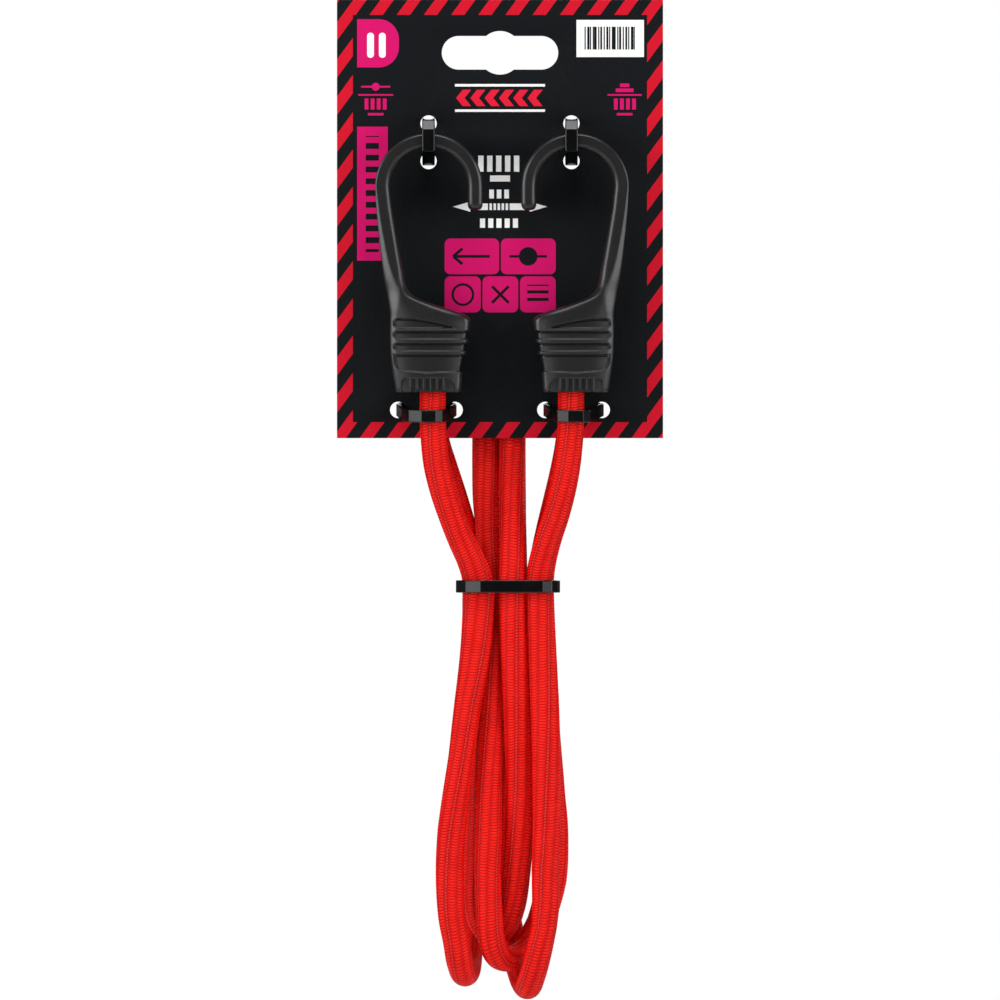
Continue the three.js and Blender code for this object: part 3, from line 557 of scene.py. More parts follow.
# The front is printed in layers, one over the other. A layer is an ink's name and its shapes, each with its
# measures: a box has its left, right, low and high edges and its corners' radius, a gauge or ladder also its
# pitch and the share that is filled, and a bar has its middle, length, thickness and turn. The rest have
# theirs in the order of the functions below.
printLayers = (
    ("magenta", (
        # the badge and the side column
        ("box", -40, -34, -10.2, 3.3), ("box", -40, -28.3, -10.2, 3.3, 5.7),
        ("box", -40, -31.4, -64.3, -26.8),
        # two small signs, each with a line under it
        ("bar", -34.8, -17.9, 9.8, 0.45), ("bar", -34.8, -15.6, 8.2, 0.5), ("disc", -34.8, -15.6, 1.1),
        ("gauge", -37.9, -31.4, -22.0, -18.9, 1.7, 0.62), ("bar", -34.8, -23.3, 4.4, 0.7),
        ("bar", 34.9, -17.9, 9.6, 0.45), ("bar", 34.9, -16.6, 5.0, 1.0), ("bar", 34.9, -15.2, 2.6, 1.0),
        ("gauge", 31.9, 38.4, -22.0, -18.9, 1.7, 0.62), ("bar", 34.9, -23.3, 4.4, 0.7),
        # five tiles
        ("box", -15.5, -0.25, -68.1, -58.1, 1.6), ("box", 0.25, 15.6, -68.1, -58.1, 1.6),
        ("box", -15.5, -5.4, -78.8, -68.7, 1.6), ("box", -4.9, 5.1, -78.8, -68.7, 1.6),
        ("box", 5.6, 15.6, -78.8, -68.7, 1.6),
    )),
    ("black", (
        # rungs down the column, and a plain sign on each tile
        ("ladder", -37.6, -33.9, -61.9, -29.4, 3.3, 0.5),
        ("ring", -10.4, -73.8, 3.2, 2.5),
        ("bar", 0.1, -73.8, 6.6, 0.8, 45), ("bar", 0.1, -73.8, 6.6, 0.8, -45),
        ("ladder", 7.6, 13.6, -76.6, -71.0, 2.1, 0.42),
        ("bar", -7.9, -63.1, 10, 0.8), ("bar", -11.8, -62.0, 3.4, 0.8, 40),
        ("bar", -11.8, -64.2, 3.4, 0.8, -40),
        ("disc", 7.9, -63.1, 2.6), ("bar", 7.9, -63.1, 10.5, 0.7),
    )),
    ("white", (
        # two pills on the badge, the label, the double arrow, and rows of bars
        ("box", -37.2, -35.3, -7.5, -0.5, 0.9), ("box", -33.9, -32.0, -7.5, -0.5, 0.9),
        ("box", 21.4, 40.3, -7.3, 3.1),
        ("arrow", -49.2, 13.2, 8.3, 0.29, 6.9, 0.93, 3.4, 1.13, 0.4),
        ("gauge", -6.1, 6.1, -39.4, -34.9, 2.5, 0.6), ("bar", 0, -41.3, 5.6, 1.7),
        ("gauge", -3.0, 3.0, -46.9, -44.4, 2.1, 0.62), ("gauge", -5.6, 5.6, -55.1, -52.5, 2.3, 0.62),
        ("bar", 0, -22.3, 25.2, 0.7), ("bar", 0, -15.2, 25.2, 0.7),
    )),
    ("bright", (("chevrons", -18.75, 2.3, -12.3, 22.7, 0.8, 4.0, 0.6),)),
    ("black", (("rules", 23.6, 38.1, -5.2, 1.2, 1.31, 0.45, 0.57, 0.3),)),
)


# One mask for each kind of shape, on x and z in millimetres.
def printShapes(x, z):
    def box(left, right, low, high, corner=0.0):
        across = abs(x - (left + right) / 2) - ((right - left) / 2 - corner)
        upward = abs(z - (low + high) / 2) - ((high - low) / 2 - corner)
        if not corner:
            return (across < 0.0) * (upward < 0.0)
        outX, outZ = across.most(0.0), upward.most(0.0)
        return (outX * outX + outZ * outZ).math("SQRT") < corner

    def disc(middleX, middleZ, radius):
        across, upward = x - middleX, z - middleZ
        return (across * across + upward * upward).math("SQRT") < radius

    def ring(middleX, middleZ, outer, inner):
        return disc(middleX, middleZ, outer) * (1.0 - disc(middleX, middleZ, inner))

    def bar(middleX, middleZ, long, thick, degrees=0):
        turn = math.radians(degrees)
        across, upward = x - middleX, z - middleZ
        along = across * math.cos(turn) + upward * math.sin(turn)
        aside = upward * math.cos(turn) - across * math.sin(turn)
        return (abs(along) < long / 2) * (abs(aside) < thick / 2)

    def gauge(left, right, low, high, pitch, share):
        return box(left, right, low, high) * (((x - left) / pitch).fract() < share)

    def ladder(left, right, low, high, pitch, share):
        return box(left, right, low, high) * ((z / pitch).fract() < share)

    # Fine and broad upright lines together.
    def rules(left, right, low, high, fine, fineShare, broad, broadShare):
        upright = ((x * fine).fract() < fineShare).most((x * broad).fract() < broadShare)
        return upright * box(left, right, low, high)

    # Two heads that point outwards, and a shaft whose middle is ruled across.
    def arrow(middle, tip, neck, slope, shaft, half, ruled, pitch, share):
        beside, above = abs(x), abs(z - middle)
        heads = (above < (tip - beside) * slope) * (beside > neck)
        gaps = (beside < ruled) * ((x / pitch).fract() < share)
        return heads.most((above < half) * (beside < shaft) * (1.0 - gaps))

    def chevrons(middle, half, start, long, point, pitch, share):
        above = abs(z - middle)
        along = x - above * point - start
        return (above < half) * (along > 0.0) * (along < long) * ((along / pitch).fract() < share)

    return {"box": box, "disc": disc, "ring": ring, "bar": bar, "gauge": gauge, "ladder": ladder,
            "rules": rules, "arrow": arrow, "chevrons": chevrons}


def boardMaterial(values):
    graph = Graph("printed_board")
    places = graph.places()
    x, y, z = [axis * (1 / mm) for axis in graph.split(places.socket)]
    shapes = printShapes(x, z)
    inner = shapes["box"](
        -values["halfWidth"] + values["stripeSide"], values["halfWidth"] - values["stripeSide"],
        values["bottom"] + values["stripeFoot"], values["top"] - values["stripeTop"])
    slanted = (x - z * values["stripeSlope"]) / values["stripePitch"] + values["stripeStart"]
    stripes = (slanted.fract() < values["stripeShare"]) * (1.0 - inner)
    colour = graph.mix(stripes, values["black"], values["red"])
    front = y < 0.0
    for ink, entries in printLayers:
        masks = [shapes[kind](*measures) for kind, *measures in entries]
        printed = masks[0]
        for mask in masks[1:]:
            printed = printed.most(mask)
        colour = graph.mix(printed * front, colour, values[ink])
    fibre = graph.noise(places, *values["fibreNoise"])
    limits, strength = values["fibreShow"]
    colour = graph.mix(fibre.ramp(*limits) * strength, colour, values["fibre"])
    rough, fibrous = values["roughness"]
    return graph.finish(
        Base_Color=colour, Roughness=rough + fibre * fibrous, Specular_IOR_Level=values["shine"],
        Normal=graph.bump(fibre, *values["bump"]))


board = plateOf("card_printed", cardOutlines(cardValues), cardValues["thick"], cardValues["edgeRound"])
place("card_printed", board, boardMaterial(cardValues), "card", "board", "header_card")
print("card made")

# Hooks. The left one is modelled, and the right one is its mirror image.

hookValues = {
    "places": {"front_left": (-18.8, -8.5), "front_right": (19.9, -8.5),
               "back_left": (-18.8, 8.5), "back_right": (19.9, 8.5)},
    "drop": 28.8,
    "height": 72.4,
    "width": 30.1,
    "bodyDepth": 13.0,
    "edge": 2.4,
    # the wire with its arch and tip
    "wireWidth": 4.2,
    "wireDepth": 6.0,
    "wireShares": (0.2, 0.6),  # of the edge, outer and inner
    "wireFlat": 0.5,
    "archShift": -1.1,
    "archRows": 53,
    "tipShare": 0.5,
    "tipLength": 4.4,
    "tipRows": (1, 0.992, 0.96, 0.9, 0.8, 0.66, 0.45, 0.2, 0),
    "tipStraight": (0.8, 0.6, 0.4, 0.2),
    "tipPower": 2.8,
    "tipLeast": 0.05,
    # every section
    "facet": 0.6,
    "facetDepth": 0.38,
    "innerCurve": 1.15,
    "innerDepth": 1.05,
    "crown": 0.7,
    "crownWidth": 0.74,
    "crownPower": 3,
    "faceSteps": 116,
    "sideSteps": 26,
    "cornerSteps": 8,
    "leastHalf": 0.02,
    "leastRound": 0.01,
    # rows down the body
    "rowSteps": (0.6, 0.2),  # down to fineFrom, and below it
    "fineFrom": 41,
    "firstRow": 0.4,
    "lastRows": (0.3, 0.12, 0),
    "footRound": 0.3,
    "samples": 600,
    "taps": 12,
    "smoothing": 0.55,
    # what is cut into it
    "groove": 0.75,
    "grooveTop": 0.7,
    "grooveSteps": 12,
    "softness": 0.17,
    "lip": 0.28,
    "lipDepth": 0.9,
    "ribs": {
        "count": 6, "pitch": 1.84, "width": 0.42, "depth": 1.2, "softness": 0.1,
        "middle": -1.55, "left": 2.5, "right": 3.1, "height": 3.9, "past": 2.0,
        "cornerLeft": 1.5, "cornerRight": 3.0, "cornerSteps": 10,
    },
    "bore": ((4.1, 0), (3.9, 0.2), (3.9, 11.2), (5.0, 11.2), (5.0, 19.7), (0.3, 19.7)),  # radius, how far in
    # the plastic
    "grain": (5200, 2),
    "cloud": (120, 3),
    "wear": (700, 4, 0.7),
    "cloudShow": ((0.35, 0.8), 0.18),
    "wearShow": ((0.62, 0.8), 0.08),
    "cloudBump": 0.6,
    "roughness": (0.25, 0.08, 0.05),
    "shine": 0.5,
    "bump": (0.000018, 0.8),
    "colour": tint(27, 27, 28),
    "worn": tint(45, 45, 46),
}

# The body from the wire to the foot: how far down, its left and right sides, its depth, outer and inner
# rounding, and how faceted its outer corners are, as shares of the height, width, depth and edge.
bodyShares = np.array([
    (0.245, -0.532, -0.387, 0, 0.26, 0.62, 1), (0.290, -0.525, -0.374, 0.03, 0.34, 0.64, 1),
    (0.330, -0.517, -0.358, 0.07, 0.42, 0.66, 1), (0.371, -0.508, -0.341, 0.13, 0.5, 0.68, 1),
    (0.410, -0.498, -0.324, 0.2, 0.6, 0.7, 1), (0.449, -0.488, -0.307, 0.3, 0.7, 0.74, 1),
    (0.490, -0.477, -0.289, 0.41, 0.84, 0.76, 1), (0.526, -0.466, -0.273, 0.52, 1, 0.78, 1),
    (0.565, -0.451, -0.259, 0.64, 1.2, 0.82, 1), (0.596, -0.436, -0.240, 0.74, 1.42, 0.84, 1),
    (0.615, -0.426, -0.209, 0.8, 1.5, 0.88, 1), (0.632, -0.419, -0.159, 0.86, 1.5, 0.96, 1),
    (0.645, -0.414, -0.090, 0.9, 1.42, 1.06, 1), (0.658, -0.409, -0.005, 0.93, 1.3, 1.16, 1),
    (0.676, -0.402, 0.124, 0.97, 1.15, 1.24, 0.95), (0.694, -0.398, 0.262, 1, 1.02, 1.22, 0.9),
    (0.706, -0.396, 0.332, 1, 0.96, 1.1, 0.9), (0.716, -0.396, 0.351, 1, 0.9, 0.95, 0.9),
    (0.730, -0.396, 0.354, 1, 0.86, 0.85, 0.9), (0.780, -0.398, 0.341, 1, 0.84, 0.8, 0.9),
    (0.836, -0.395, 0.319, 1, 0.84, 0.8, 0.9), (0.874, -0.390, 0.300, 0.97, 0.84, 0.78, 0.9),
    (0.932, -0.370, 0.275, 0.9, 0.82, 0.75, 0.9), (0.990, -0.347, 0.265, 0.84, 0.8, 0.7, 0.9),
    (1.000, -0.340, 0.258, 0.8, 0.78, 0.68, 0.9),
])

# The tapering groove and the recess as outlines, and each finger groove by its top, bottom and left end,
# as shares of the width and the height.
taperShares = np.array([
    (-0.358, 0.735), (-0.348, 0.722), (-0.315, 0.7165), (-0.17, 0.7185), (-0.03, 0.728),
    (0.11, 0.7405), (0.214, 0.7535), (0.08, 0.7545), (-0.12, 0.7545), (-0.32, 0.7535), (-0.352, 0.748),
])
recessShares = np.array([
    (1, 0.8565), (-0.352, 0.8565), (-0.352, 0.877), (-0.342, 0.897), (-0.318, 0.911),
    (-0.28, 0.9175), (-0.05, 0.9255), (0.2, 0.9205), (1, 0.9175),
])
grooveShares = ((0.766, 0.795, -0.358), (0.8125, 0.8415, -0.357))


# Points round one section, as places across and in depth. Flat makes its outer corners facets, and crown
# bows its faces.
def sectionPoints(halfWidth, halfDepth, outer, inner, deepest, flat, crown, values):
    quarter = np.linspace(0, np.pi / 2, values["cornerSteps"] + 1)[1:-1]
    face = np.linspace(-1, 1, values["faceSteps"])
    side = np.linspace(-1, 1, values["sideSteps"])
    left, right = -halfWidth + outer, halfWidth - inner
    middle, reach = (left + right) / 2, (right - left) / 2
    edge = -halfDepth + crown
    outerDeep = min(outer * (1 - values["facetDepth"] * flat), deepest)
    innerDeep = min(inner * values["innerDepth"], deepest)

    def corner(start, across, deep, power):
        aside, back = np.sin(quarter) ** power, 1 - np.cos(quarter) ** power
        return np.stack([start + across * aside, edge + deep * back], 1)

    front = np.stack([middle + reach * face, -halfDepth + crown * np.abs(face) ** values["crownPower"]], 1)
    inCorner = corner(right, inner, innerDeep, values["innerCurve"])
    inward = np.stack([np.full_like(side, halfWidth), -(edge + innerDeep) * side], 1)
    outCorner = corner(left, -outer, outerDeep, 1 + values["facet"] * flat)
    outward = np.stack([np.full_like(side, -halfWidth), (edge + outerDeep) * side], 1)
    over = (1, -1)
    return np.vstack([front, inCorner, inward, inCorner[::-1] * over, front[::-1] * over,
                      outCorner * over, outward, outCorner[::-1]])


# How far points lie outside a closed outline, negative inside it.
def outsideOf(x, z, outline):
    least = np.full(x.shape, np.inf)
    inside = np.zeros(x.shape, bool)
    for (ax, az), (bx, bz) in zip(outline, np.roll(outline, -1, axis=0)):
        dx, dz = bx - ax, bz - az
        share = np.clip(((x - ax) * dx + (z - az) * dz) / (dx * dx + dz * dz), 0, 1)
        least = np.minimum(least, np.hypot(x - ax - share * dx, z - az - share * dz))
        if dz:
            crossing = ((az > z) != (bz > z)) & (x < ax + dx * (z - az) / dz)
            inside ^= crossing
    return np.where(inside, -least, least)


def cutOutlines(values):
    width, height, ribs = values["width"], values["height"], values["ribs"]
    outlines = [shares * (width, -height) for shares in (taperShares, recessShares)]
    for top, bottom, left in grooveShares:
        radius = (bottom - top) * height / 2
        middle = -(top + bottom) / 2 * height
        end = arc(left * width + radius, middle, radius, 90, 270, values["grooveSteps"])
        outlines.append(np.array([*end, (width, middle - radius), (width, middle + radius)]))
    reach = (ribs["count"] - 1) * ribs["pitch"] / 2
    left = ribs["middle"] - reach - ribs["left"]
    right = ribs["middle"] + reach + ribs["right"]
    top, below = -height + ribs["height"], -height - ribs["past"]
    cornerLeft, cornerRight = ribs["cornerLeft"], ribs["cornerRight"]
    field = [(left, below), (right, below),
             *arc(right - cornerRight, top - cornerRight, cornerRight, 0, 90, ribs["cornerSteps"]),
             *arc(left + cornerLeft, top - cornerLeft, cornerLeft, 90, 180, ribs["cornerSteps"])]
    return outlines, np.array(field)


# How much of a groove's depth is cut at each point. A lip under its upper edge is cut deeper.
def cutDepth(x, z, values):
    outlines, field = cutOutlines(values)
    ribs, soft = values["ribs"], values["softness"]
    cut = np.zeros(x.shape)
    for outline in outlines:
        here, above = (smoothStep(-outsideOf(x, z + up, outline), -soft, soft) for up in (0, values["lip"]))
        cut = np.maximum(cut, here * (1 + values["lipDepth"] * (1 - above)))
    nearest = np.full(x.shape, np.inf)
    for i in range(ribs["count"]):
        at = ribs["middle"] + (i - (ribs["count"] - 1) / 2) * ribs["pitch"]
        nearest = np.minimum(nearest, np.abs(x - at) - ribs["width"] / 2)
    soft = ribs["softness"]
    ribbed = smoothStep(-outsideOf(x, z, field), -soft, soft) * smoothStep(nearest, -soft, soft)
    return np.maximum(cut, ribbed * ribs["depth"])


# Each station holds a middle in x and z, the way across, half the width and the depth, outer and inner
# rounding, how faceted it is, and its crown. These go up from the rounded tip and round the arch.
def wireStations(values):
    edge, flat = values["edge"], values["wireFlat"]
    half, deep = values["wireWidth"] / 2, values["wireDepth"] / 2
    wireOuter, wireInner = (share * edge for share in values["wireShares"])
    tipOuter = values["tipShare"] * edge
    archX, archZ = values["archShift"], -values["width"] / 2
    archRadius = values["width"] / 2 - half
    tipX, tipLength, power = archX + archRadius, values["tipLength"], values["tipPower"]
    stations = []
    for down in values["tipRows"]:
        wide = max((1 - down ** power) ** (1 / power), values["tipLeast"])
        stations.append((tipX, archZ - tipLength - down * half, -1, 0, half * wide, deep * wide,
                         tipOuter * wide, wireInner * wide, flat, 0))
    for down in values["tipStraight"]:
        stations.append((tipX, archZ - tipLength * down, -1, 0, half, deep, tipOuter, wireInner, flat, 0))
    for angle in np.linspace(0, math.pi, values["archRows"]):
        outX, outZ = math.cos(angle), math.sin(angle)
        outer = tipOuter + (wireOuter - tipOuter) * angle / math.pi
        stations.append((archX + archRadius * outX, archZ + archRadius * outZ, -outX, -outZ, half, deep,
                         outer, wireInner, flat, 0))
    return stations


# The body's shares are smoothed on their way down, and its stations lie closer where grooves cross it.
def bodyStations(values):
    width, height, edge, rounding = values["width"], values["height"], values["edge"], values["footRound"]
    downs, shares = bodyShares[:, 0] * height, bodyShares[:, 1:]
    coarse, fine = values["rowSteps"]
    last = height - np.array(values["lastRows"])
    upper = np.arange(downs[0] + values["firstRow"], values["fineFrom"], coarse)
    lower = np.arange(values["fineFrom"], last[0], fine)
    rows = np.concatenate([upper, lower, last])
    samples = np.linspace(downs[0], height, values["samples"])
    taps = values["taps"]
    reach = np.arange(-taps, taps + 1) * (samples[1] - samples[0])
    weights = np.exp(-(reach / values["smoothing"]) ** 2)
    weights /= weights.sum()
    columns = []
    for column in shares.T:
        padded = np.pad(np.interp(samples, downs, column), taps, mode="edge")
        columns.append(np.interp(rows, samples, np.convolve(padded, weights, "valid")))
    wireDeep, swell = values["wireDepth"] / 2, (values["bodyDepth"] - values["wireDepth"]) / 2
    stations = []
    for down, left, right, depth, outer, inner, flat in zip(rows, *columns):
        trim = rounding * max(0, 1 - (height - down) / rounding) ** 2
        crown = values["crown"] * ((right - left) / values["crownWidth"]) ** 2
        stations.append(((left + right) * width / 2, -down, 1, 0, (right - left) * width / 2 - trim,
                         wireDeep + depth * swell - trim, outer * edge, inner * edge, flat, crown))
    return stations


def hookRows(values):
    height, edge = values["height"], values["edge"]
    stations = wireStations(values) + bodyStations(values)

    def rowsAt(inset):
        rows = []
        for x, z, acrossX, acrossZ, halfWidth, halfDepth, outer, inner, flat, crown in stations:
            halves = [max(half - inset, values["leastHalf"]) for half in (halfWidth, halfDepth)]
            roundings = [max(rounding - inset, values["leastRound"])
                         for rounding in (outer, inner, min(edge, halfDepth))]
            points = sectionPoints(*halves, *roundings, flat, crown, values)
            across, y = points[:, 0], points[:, 1]
            rows.append(np.stack([x + acrossX * across, y, z + acrossZ * across], 1))
        return np.array(rows)

    outside, inside = rowsAt(0.0), rowsAt(values["groove"])
    cut = cutDepth(outside[..., 0], outside[..., 2], values)
    cut[outside[..., 2] > -values["grooveTop"] * height] = 0
    rows = outside + (inside - outside) * cut[..., None]
    # The end face goes in to the bore, up it, and round the chamber of the crimped stop.
    angles = np.arctan2(rows[-1, :, 1], rows[-1, :, 0])
    bore = []
    for radius, up in values["bore"]:
        level = np.full_like(angles, up - height)
        bore.append(np.stack([radius * np.cos(angles), radius * np.sin(angles), level], 1))
    return np.concatenate([rows, np.array(bore)]) * mm


def plasticMaterial(values):
    graph = Graph("hook_plastic")
    places = graph.places()
    grain, cloud, wear = (graph.noise(places, *values[name]) for name in ("grain", "cloud", "wear"))
    (cloudLimits, cloudShare), (wearLimits, wearShare) = values["cloudShow"], values["wearShow"]
    worn = cloud.ramp(*cloudLimits) * cloudShare + wear.ramp(*wearLimits) * wearShare
    smooth, rubbed, grained = values["roughness"]
    return graph.finish(
        Base_Color=graph.mix(worn, values["colour"], values["worn"]),
        Roughness=smooth + wear * rubbed + grain * grained, Specular_IOR_Level=values["shine"],
        Normal=graph.bump(grain + cloud * values["cloudBump"], *values["bump"]))


def makeHooks(values):
    material = plasticMaterial(values)
    plain = skinOf("hook_plain", hookRows(values))
    for where, (x, y) in values["places"].items():
        mesh = plain.copy()
        if "right" in where:
            # A mirrored mesh is inside out until its normals are flipped.
            mesh.transform(Matrix.Scale(-1, 4, (1, 0, 0)))
            mesh.flip_normals()
        mesh.transform(Matrix.Translation((x * mm, y * mm, -values["drop"] * mm)))
        place(f"hook_moulded_{where}", mesh, material, f"hook_{where}", "hook", f"hook_{where}")
    bpy.data.meshes.remove(plain)


makeHooks(hookValues)
print("hooks made")

# Cable ties. A seat is where a tie's head stands on its loop, and the way that it faces.

tieValues = {
    "thick": 1.1,
    "width": 3.5,
    "round": 0.28,
    "roundSteps": 4,
    "kink": 0.05,
    "rim": 0.15,
    "head": (5.2, 4.0, 5.0),
    "headRound": 0.7,
    "tail": 2.5,
    "tailAt": 1.5,  # of the strap's thickness
    "pawl": (0.5, 0.7, 0.62),  # of the head's width, the strap's thickness and the strap's width
    "pawlAt": (-0.28, 1.35),  # of the head's width and the strap's thickness
    "pawlRound": 0.15,
    "archSeat": (-0.2, 12.0, 90),
    "cordSeat": (-0.2, 12.7, 90),
    "cordLean": 8,
    "bundleSeat": (7.7, 11.68, 50.7),
    "bundleZ": -155.5,
    "cloud": (240, 2),
    "cloudShow": ((0.4, 0.8), 0.4),
    "grain": (3000, 2),
    "grainBump": 0.4,
    "roughness": (0.13, 0.08),
    "shine": 0.55,
    "bump": (0.00001, 0.4),
    "black": tint(6, 7, 8),
    "soft": tint(15, 16, 17),
}


# The strap's section goes along each straight, mitred at its corners and a little short of them.
def strapRows(points, values):
    steps = np.roll(points, -1, axis=0) - points
    longs = np.linalg.norm(steps, axis=1)
    ways = steps / longs[:, None]
    outs = np.stack([ways[:, 1], -ways[:, 0]], axis=1)
    before = np.roll(ways, 1, axis=0)
    turns = np.arctan2(before[:, 0] * ways[:, 1] - before[:, 1] * ways[:, 0], (before * ways).sum(axis=1))
    mitres = np.tan(turns / 2)
    thick, width, soft = values["thick"], values["width"], values["round"]
    section = []
    for cx, cz, start in ((thick - soft, width / 2 - soft, 0), (soft, width / 2 - soft, 90),
                          (soft, -width / 2 + soft, 180), (thick - soft, -width / 2 + soft, 270)):
        section.extend(arc(cx, cz, soft, start, start + 90, values["roundSteps"]))
    # A second point just inside each edge of the wide faces keeps them evenly shaded.
    inside = width / 2 - soft - values["rim"]
    half = len(section) // 2
    section = np.array([
        (thick, inside), *section[:half], (0, inside), (0, -inside), *section[half:], (thick, -inside)])
    rows = []
    for i, long in enumerate(longs):
        short = min(values["kink"], long / 4)
        first = short - section[:, 0] * mitres[i]
        last = long - short + section[:, 0] * mitres[(i + 1) % len(longs)]
        near = min(values["rim"] / long, 0.25)
        for share in (0, near, 0.5, 1 - near, 1):
            along = first + (last - first) * share
            flat = points[i] + outs[i] * section[:, :1] + ways[i] * along[:, None]
            rows.append(np.column_stack([flat, section[:, 1]]))
    return np.array(rows) * mm


def block(bm, size, middle, soft, steps):
    made = bmesh.ops.create_cube(bm, size=1)["verts"]
    bmesh.ops.scale(bm, verts=made, vec=size)
    bmesh.ops.translate(bm, verts=made, vec=middle)
    edges = list({edge for vert in made for edge in vert.link_edges})
    bmesh.ops.bevel(bm, geom=edges, offset=soft, segments=steps, profile=0.5, affect="EDGES", material=-1)


# The head, the trimmed tail that stands out of it, and the pawl beside the tail.
def makeTie(node, path, seat, turn, position, body, material, values):
    name = node.replace("tie", "tie_nylon")
    mesh = skinOf(name, strapRows(np.array(path), values), looped=True)
    headSize = [side * mm for side in values["head"]]
    headWide, top = headSize[0], headSize[1] / 2
    thick, width = values["thick"] * mm, values["width"] * mm
    tail = headWide / 2 + values["tail"] * mm
    pawlWide, pawlThick, pawlHigh = values["pawl"]
    pawlX, pawlY = values["pawlAt"]
    seatX, seatY, outward = seat
    head = bmesh.new()
    for size, middle, soft in (
            (headSize, (0, top + thick / 2, 0), values["headRound"]),
            ((tail, thick, width), (tail / 2, top + thick * values["tailAt"], 0), values["round"]),
            ((headWide * pawlWide, thick * pawlThick, width * pawlHigh),
             (headWide * pawlX, top + thick * pawlY, 0), values["pawlRound"])):
        block(head, size, middle, soft * mm, values["roundSteps"])
    facing = Matrix.Rotation(math.radians(outward - 90), 3, "Z")
    bmesh.ops.rotate(head, verts=head.verts, cent=(0, 0, 0), matrix=facing)
    bmesh.ops.translate(head, verts=head.verts, vec=(seatX * mm, seatY * mm, 0))
    head.from_mesh(mesh)
    head.to_mesh(mesh)
    head.free()
    mesh.transform(Matrix.Translation(Vector(position) * mm) @ turn)
    place(name, mesh, material, body, "tie", node)


def nylonMaterial(values):
    graph = Graph("tie_nylon")
    places = graph.places()
    cloud, grain = (graph.noise(places, *values[name]) for name in ("cloud", "grain"))
    limits, share = values["cloudShow"]
    smooth, clouded = values["roughness"]
    return graph.finish(
        Base_Color=graph.mix(cloud.ramp(*limits) * share, values["black"], values["soft"]),
        Roughness=smooth + cloud * clouded, Specular_IOR_Level=values["shine"],
        Normal=graph.bump(grain * values["grainBump"] + cloud, *values["bump"]))


# Each path holds the corners of the loop inside the strap, as places across and back. The arch and cord
# ties' back half is the mirror image of their front half.
archPath = [(-5.7, -0.25), (-4.9, -10.88), (-3.05, -12.1), (1.95, -12), (5.4, -0.25)]
leftPath = [
    (-7.35, -0.25), (-5.85, -9.3), (-4.3, -12), (-1.16, -12.7), (2.4, -12.7), (3.9, -12.3), (5.6, -9.6),
    (7.35, -0.25),
]
rightPath = [
    (-7.35, -0.25), (-5.5, -9.3), (-3.95, -12.05), (-1.36, -12.7), (2.44, -12.7), (3.7, -12.3),
    (7.35, -0.25),
]
bundlePath = [
    (-11.25, -4), (-10.6, -6.4), (-8.9, -8), (-5.3, -8.8), (11.8, -8.8), (13.9, -8.23), (15, -7.1),
    (15.7, -4.4), (15.45, 3.44), (15.01, 5.2), (13.87, 6.63), (1.52, 16.73), (0.17, 17.48), (-1.36, 17.7),
    (-2.86, 17.36), (-4.16, 16.52), (-9.86, 11.12), (-10.85, 9.71), (-11.2, 8.02),
]


def bothSides(path):
    return path + [(x, -y) for x, y in reversed(path)]


# The arch and cord ties go through the card's holes, and the bundle tie goes round the cords.
def makeTies(values):
    material = nylonMaterial(values)
    archTurn = Matrix.Rotation(math.pi / 2, 4, "Y")
    cordTurn = Matrix.Rotation(math.radians(values["cordLean"]), 4, "X")
    archX, archZ, _ = cardValues["archHoles"]
    cordX, cordZ, _ = cardValues["cordHoles"]
    for where, side, cordPath in (("left", -1, leftPath), ("right", 1, rightPath)):
        makeTie(f"arch_tie_{where}", bothSides(archPath), values["archSeat"], archTurn,
                (side * archX, 0, archZ), "card", material, values)
        makeTie(f"cord_tie_{where}", bothSides(cordPath), values["cordSeat"], cordTurn,
                (side * cordX, 0, cordZ), "card", material, values)
    makeTie("bundle_tie", bundlePath, values["bundleSeat"], Matrix.Identity(4),
            (0, 0, values["bundleZ"]), "bundle_tie", material, values)


makeTies(tieValues)
print("ties made")

# Crimped stops. They keep the solids' shape and are given steel.

stopValues = {
    "stretch": (1, 1, 14),
    "brush": (900, 3),
    "brushRamp": (0.3, 0.7),
    "metallic": 0.95,
    "roughness": (0.3, 0.15),
    "bump": (0.00002, 0.6),
    "dark": tint(150, 152, 154),
    "bright": tint(196, 198, 200),
}


def steelMaterial(values):
    graph = Graph("stop_steel")
    brushed = graph.noise(graph.stretched(graph.places(), values["stretch"]), *values["brush"])
    smooth, rough = values["roughness"]
    return graph.finish(
        Base_Color=graph.mix(brushed.ramp(*values["brushRamp"]), values["dark"], values["bright"]),
        Metallic=values["metallic"], Roughness=smooth + brushed * rough,
        Normal=graph.bump(brushed, *values["bump"]))


steel = steelMaterial(stopValues)
for where in hookValues["places"]:
    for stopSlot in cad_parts[f"cord_stop_{where}"].material_slots:
        stopSlot.material = steel
print("stops finished")

# Studio, in metres. A lamp has its name, place, width, height and power in watts.

studioValues = {
    "floorZ": -0.32,
    "floorRadius": 0.5,
    "floorSides": 96,
    "floor": tint(236, 236, 236),
    "floorRoughness": 0.9,
    "ambient": 0.05,
    "backdrop": 1.0,
    "behindFrom": 0.97,
    "aim": (0, 0, -0.13),
    "lamps": (
        ("left", (-1.15, -0.64, 0.16), 0.85, 0.85, 12.0),
        ("right", (1.15, -0.64, 0.12), 0.85, 0.85, 9.4),
        ("top", (0.0, -0.6, 0.95), 0.9, 0.45, 7.5),
        ("frontLeft", (-0.95, -2.0, -0.55), 0.45, 1.5, 5.4),
        ("frontRight", (0.95, -2.0, -0.55), 0.45, 1.5, 4.6),
        ("back", (0.4, 1.5, 0.7), 1.4, 1.0, 13.0),
    ),
}


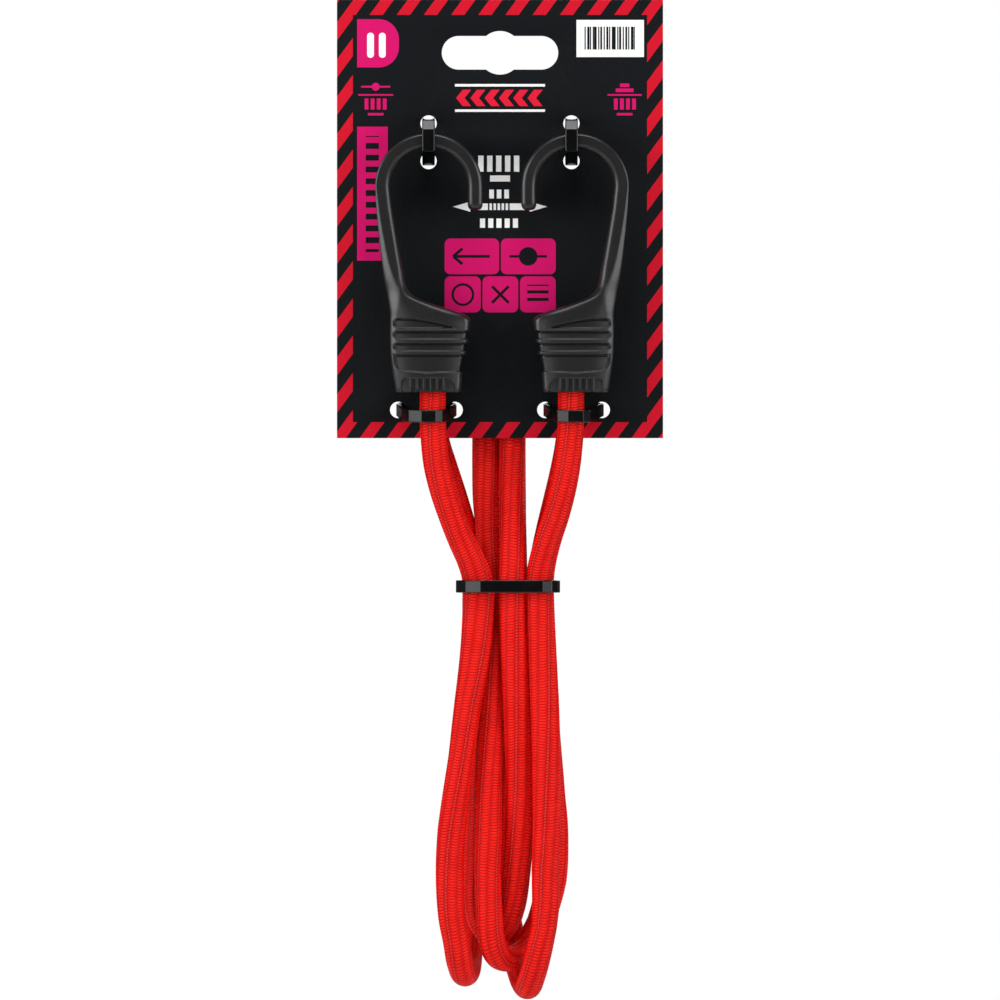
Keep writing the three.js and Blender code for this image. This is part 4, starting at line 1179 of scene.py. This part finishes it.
def makeFloor(values):
    bm = bmesh.new()
    bmesh.ops.create_circle(bm, cap_ends=True, segments=values["floorSides"], radius=values["floorRadius"])
    bmesh.ops.translate(bm, verts=bm.verts, vec=(0, 0, values["floorZ"]))
    mesh = bpy.data.meshes.new("floor")
    bm.to_mesh(mesh)
    bm.free()
    floor = bpy.data.objects.new("floor", mesh)
    bpy.context.scene.collection.objects.link(floor)
    graph = Graph("floor_paint")
    mesh.materials.append(graph.finish(Base_Color=values["floor"], Roughness=values["floorRoughness"]))


def makeLamps(values):
    for name, at, wide, high, power in values["lamps"]:
        lamp = bpy.data.lights.new(name, "AREA")
        lamp.shape = "RECTANGLE"
        lamp.size, lamp.size_y = wide, high
        lamp.energy = power
        holder = bpy.data.objects.new(name, lamp)
        holder.location = at
        toward = Vector(values["aim"]) - Vector(at)
        holder.rotation_euler = toward.to_track_quat("-Z", "Y").to_euler()
        bpy.context.scene.collection.objects.link(holder)


def makeWorld(values):
    world = bpy.data.worlds.new("studio")
    bpy.context.scene.world = world
    world.use_nodes = True
    tree = world.node_tree
    tree.nodes.clear()
    # The backdrop shows to the camera all round, and to reflections and clear things only behind the object.
    rays = tree.nodes.new("ShaderNodeLightPath")
    way = tree.nodes.new("ShaderNodeTexCoord")
    apart = tree.nodes.new("ShaderNodeSeparateXYZ")
    tree.links.new(way.outputs["Generated"], apart.inputs[0])
    mirrored, behind, shown = (tree.nodes.new("ShaderNodeMath") for _ in range(3))
    mirrored.operation, behind.operation, shown.operation = "ADD", "GREATER_THAN", "MULTIPLY_ADD"
    tree.links.new(rays.outputs["Is Glossy Ray"], mirrored.inputs[0])
    tree.links.new(rays.outputs["Is Transmission Ray"], mirrored.inputs[1])
    tree.links.new(apart.outputs["Y"], behind.inputs[0])
    behind.inputs[1].default_value = values["behindFrom"]
    tree.links.new(mirrored.outputs[0], shown.inputs[0])
    tree.links.new(behind.outputs[0], shown.inputs[1])
    tree.links.new(rays.outputs["Is Camera Ray"], shown.inputs[2])
    share = tree.nodes.new("ShaderNodeMix")
    share.data_type = "FLOAT"
    share.clamp_factor = True
    tree.links.new(shown.outputs[0], share.inputs[0])
    share.inputs[2].default_value = values["ambient"]
    share.inputs[3].default_value = values["backdrop"]
    sky = tree.nodes.new("ShaderNodeBackground")
    sky.inputs["Color"].default_value = (1, 1, 1, 1)
    tree.links.new(share.outputs[0], sky.inputs["Strength"])
    output = tree.nodes.new("ShaderNodeOutputWorld")
    tree.links.new(sky.outputs[0], output.inputs["Surface"])


makeFloor(studioValues)
makeLamps(studioValues)
makeWorld(studioValues)
bpy.context.scene.view_settings.view_transform = "Standard"
print("studio made")

bpy.context.view_layer.update()
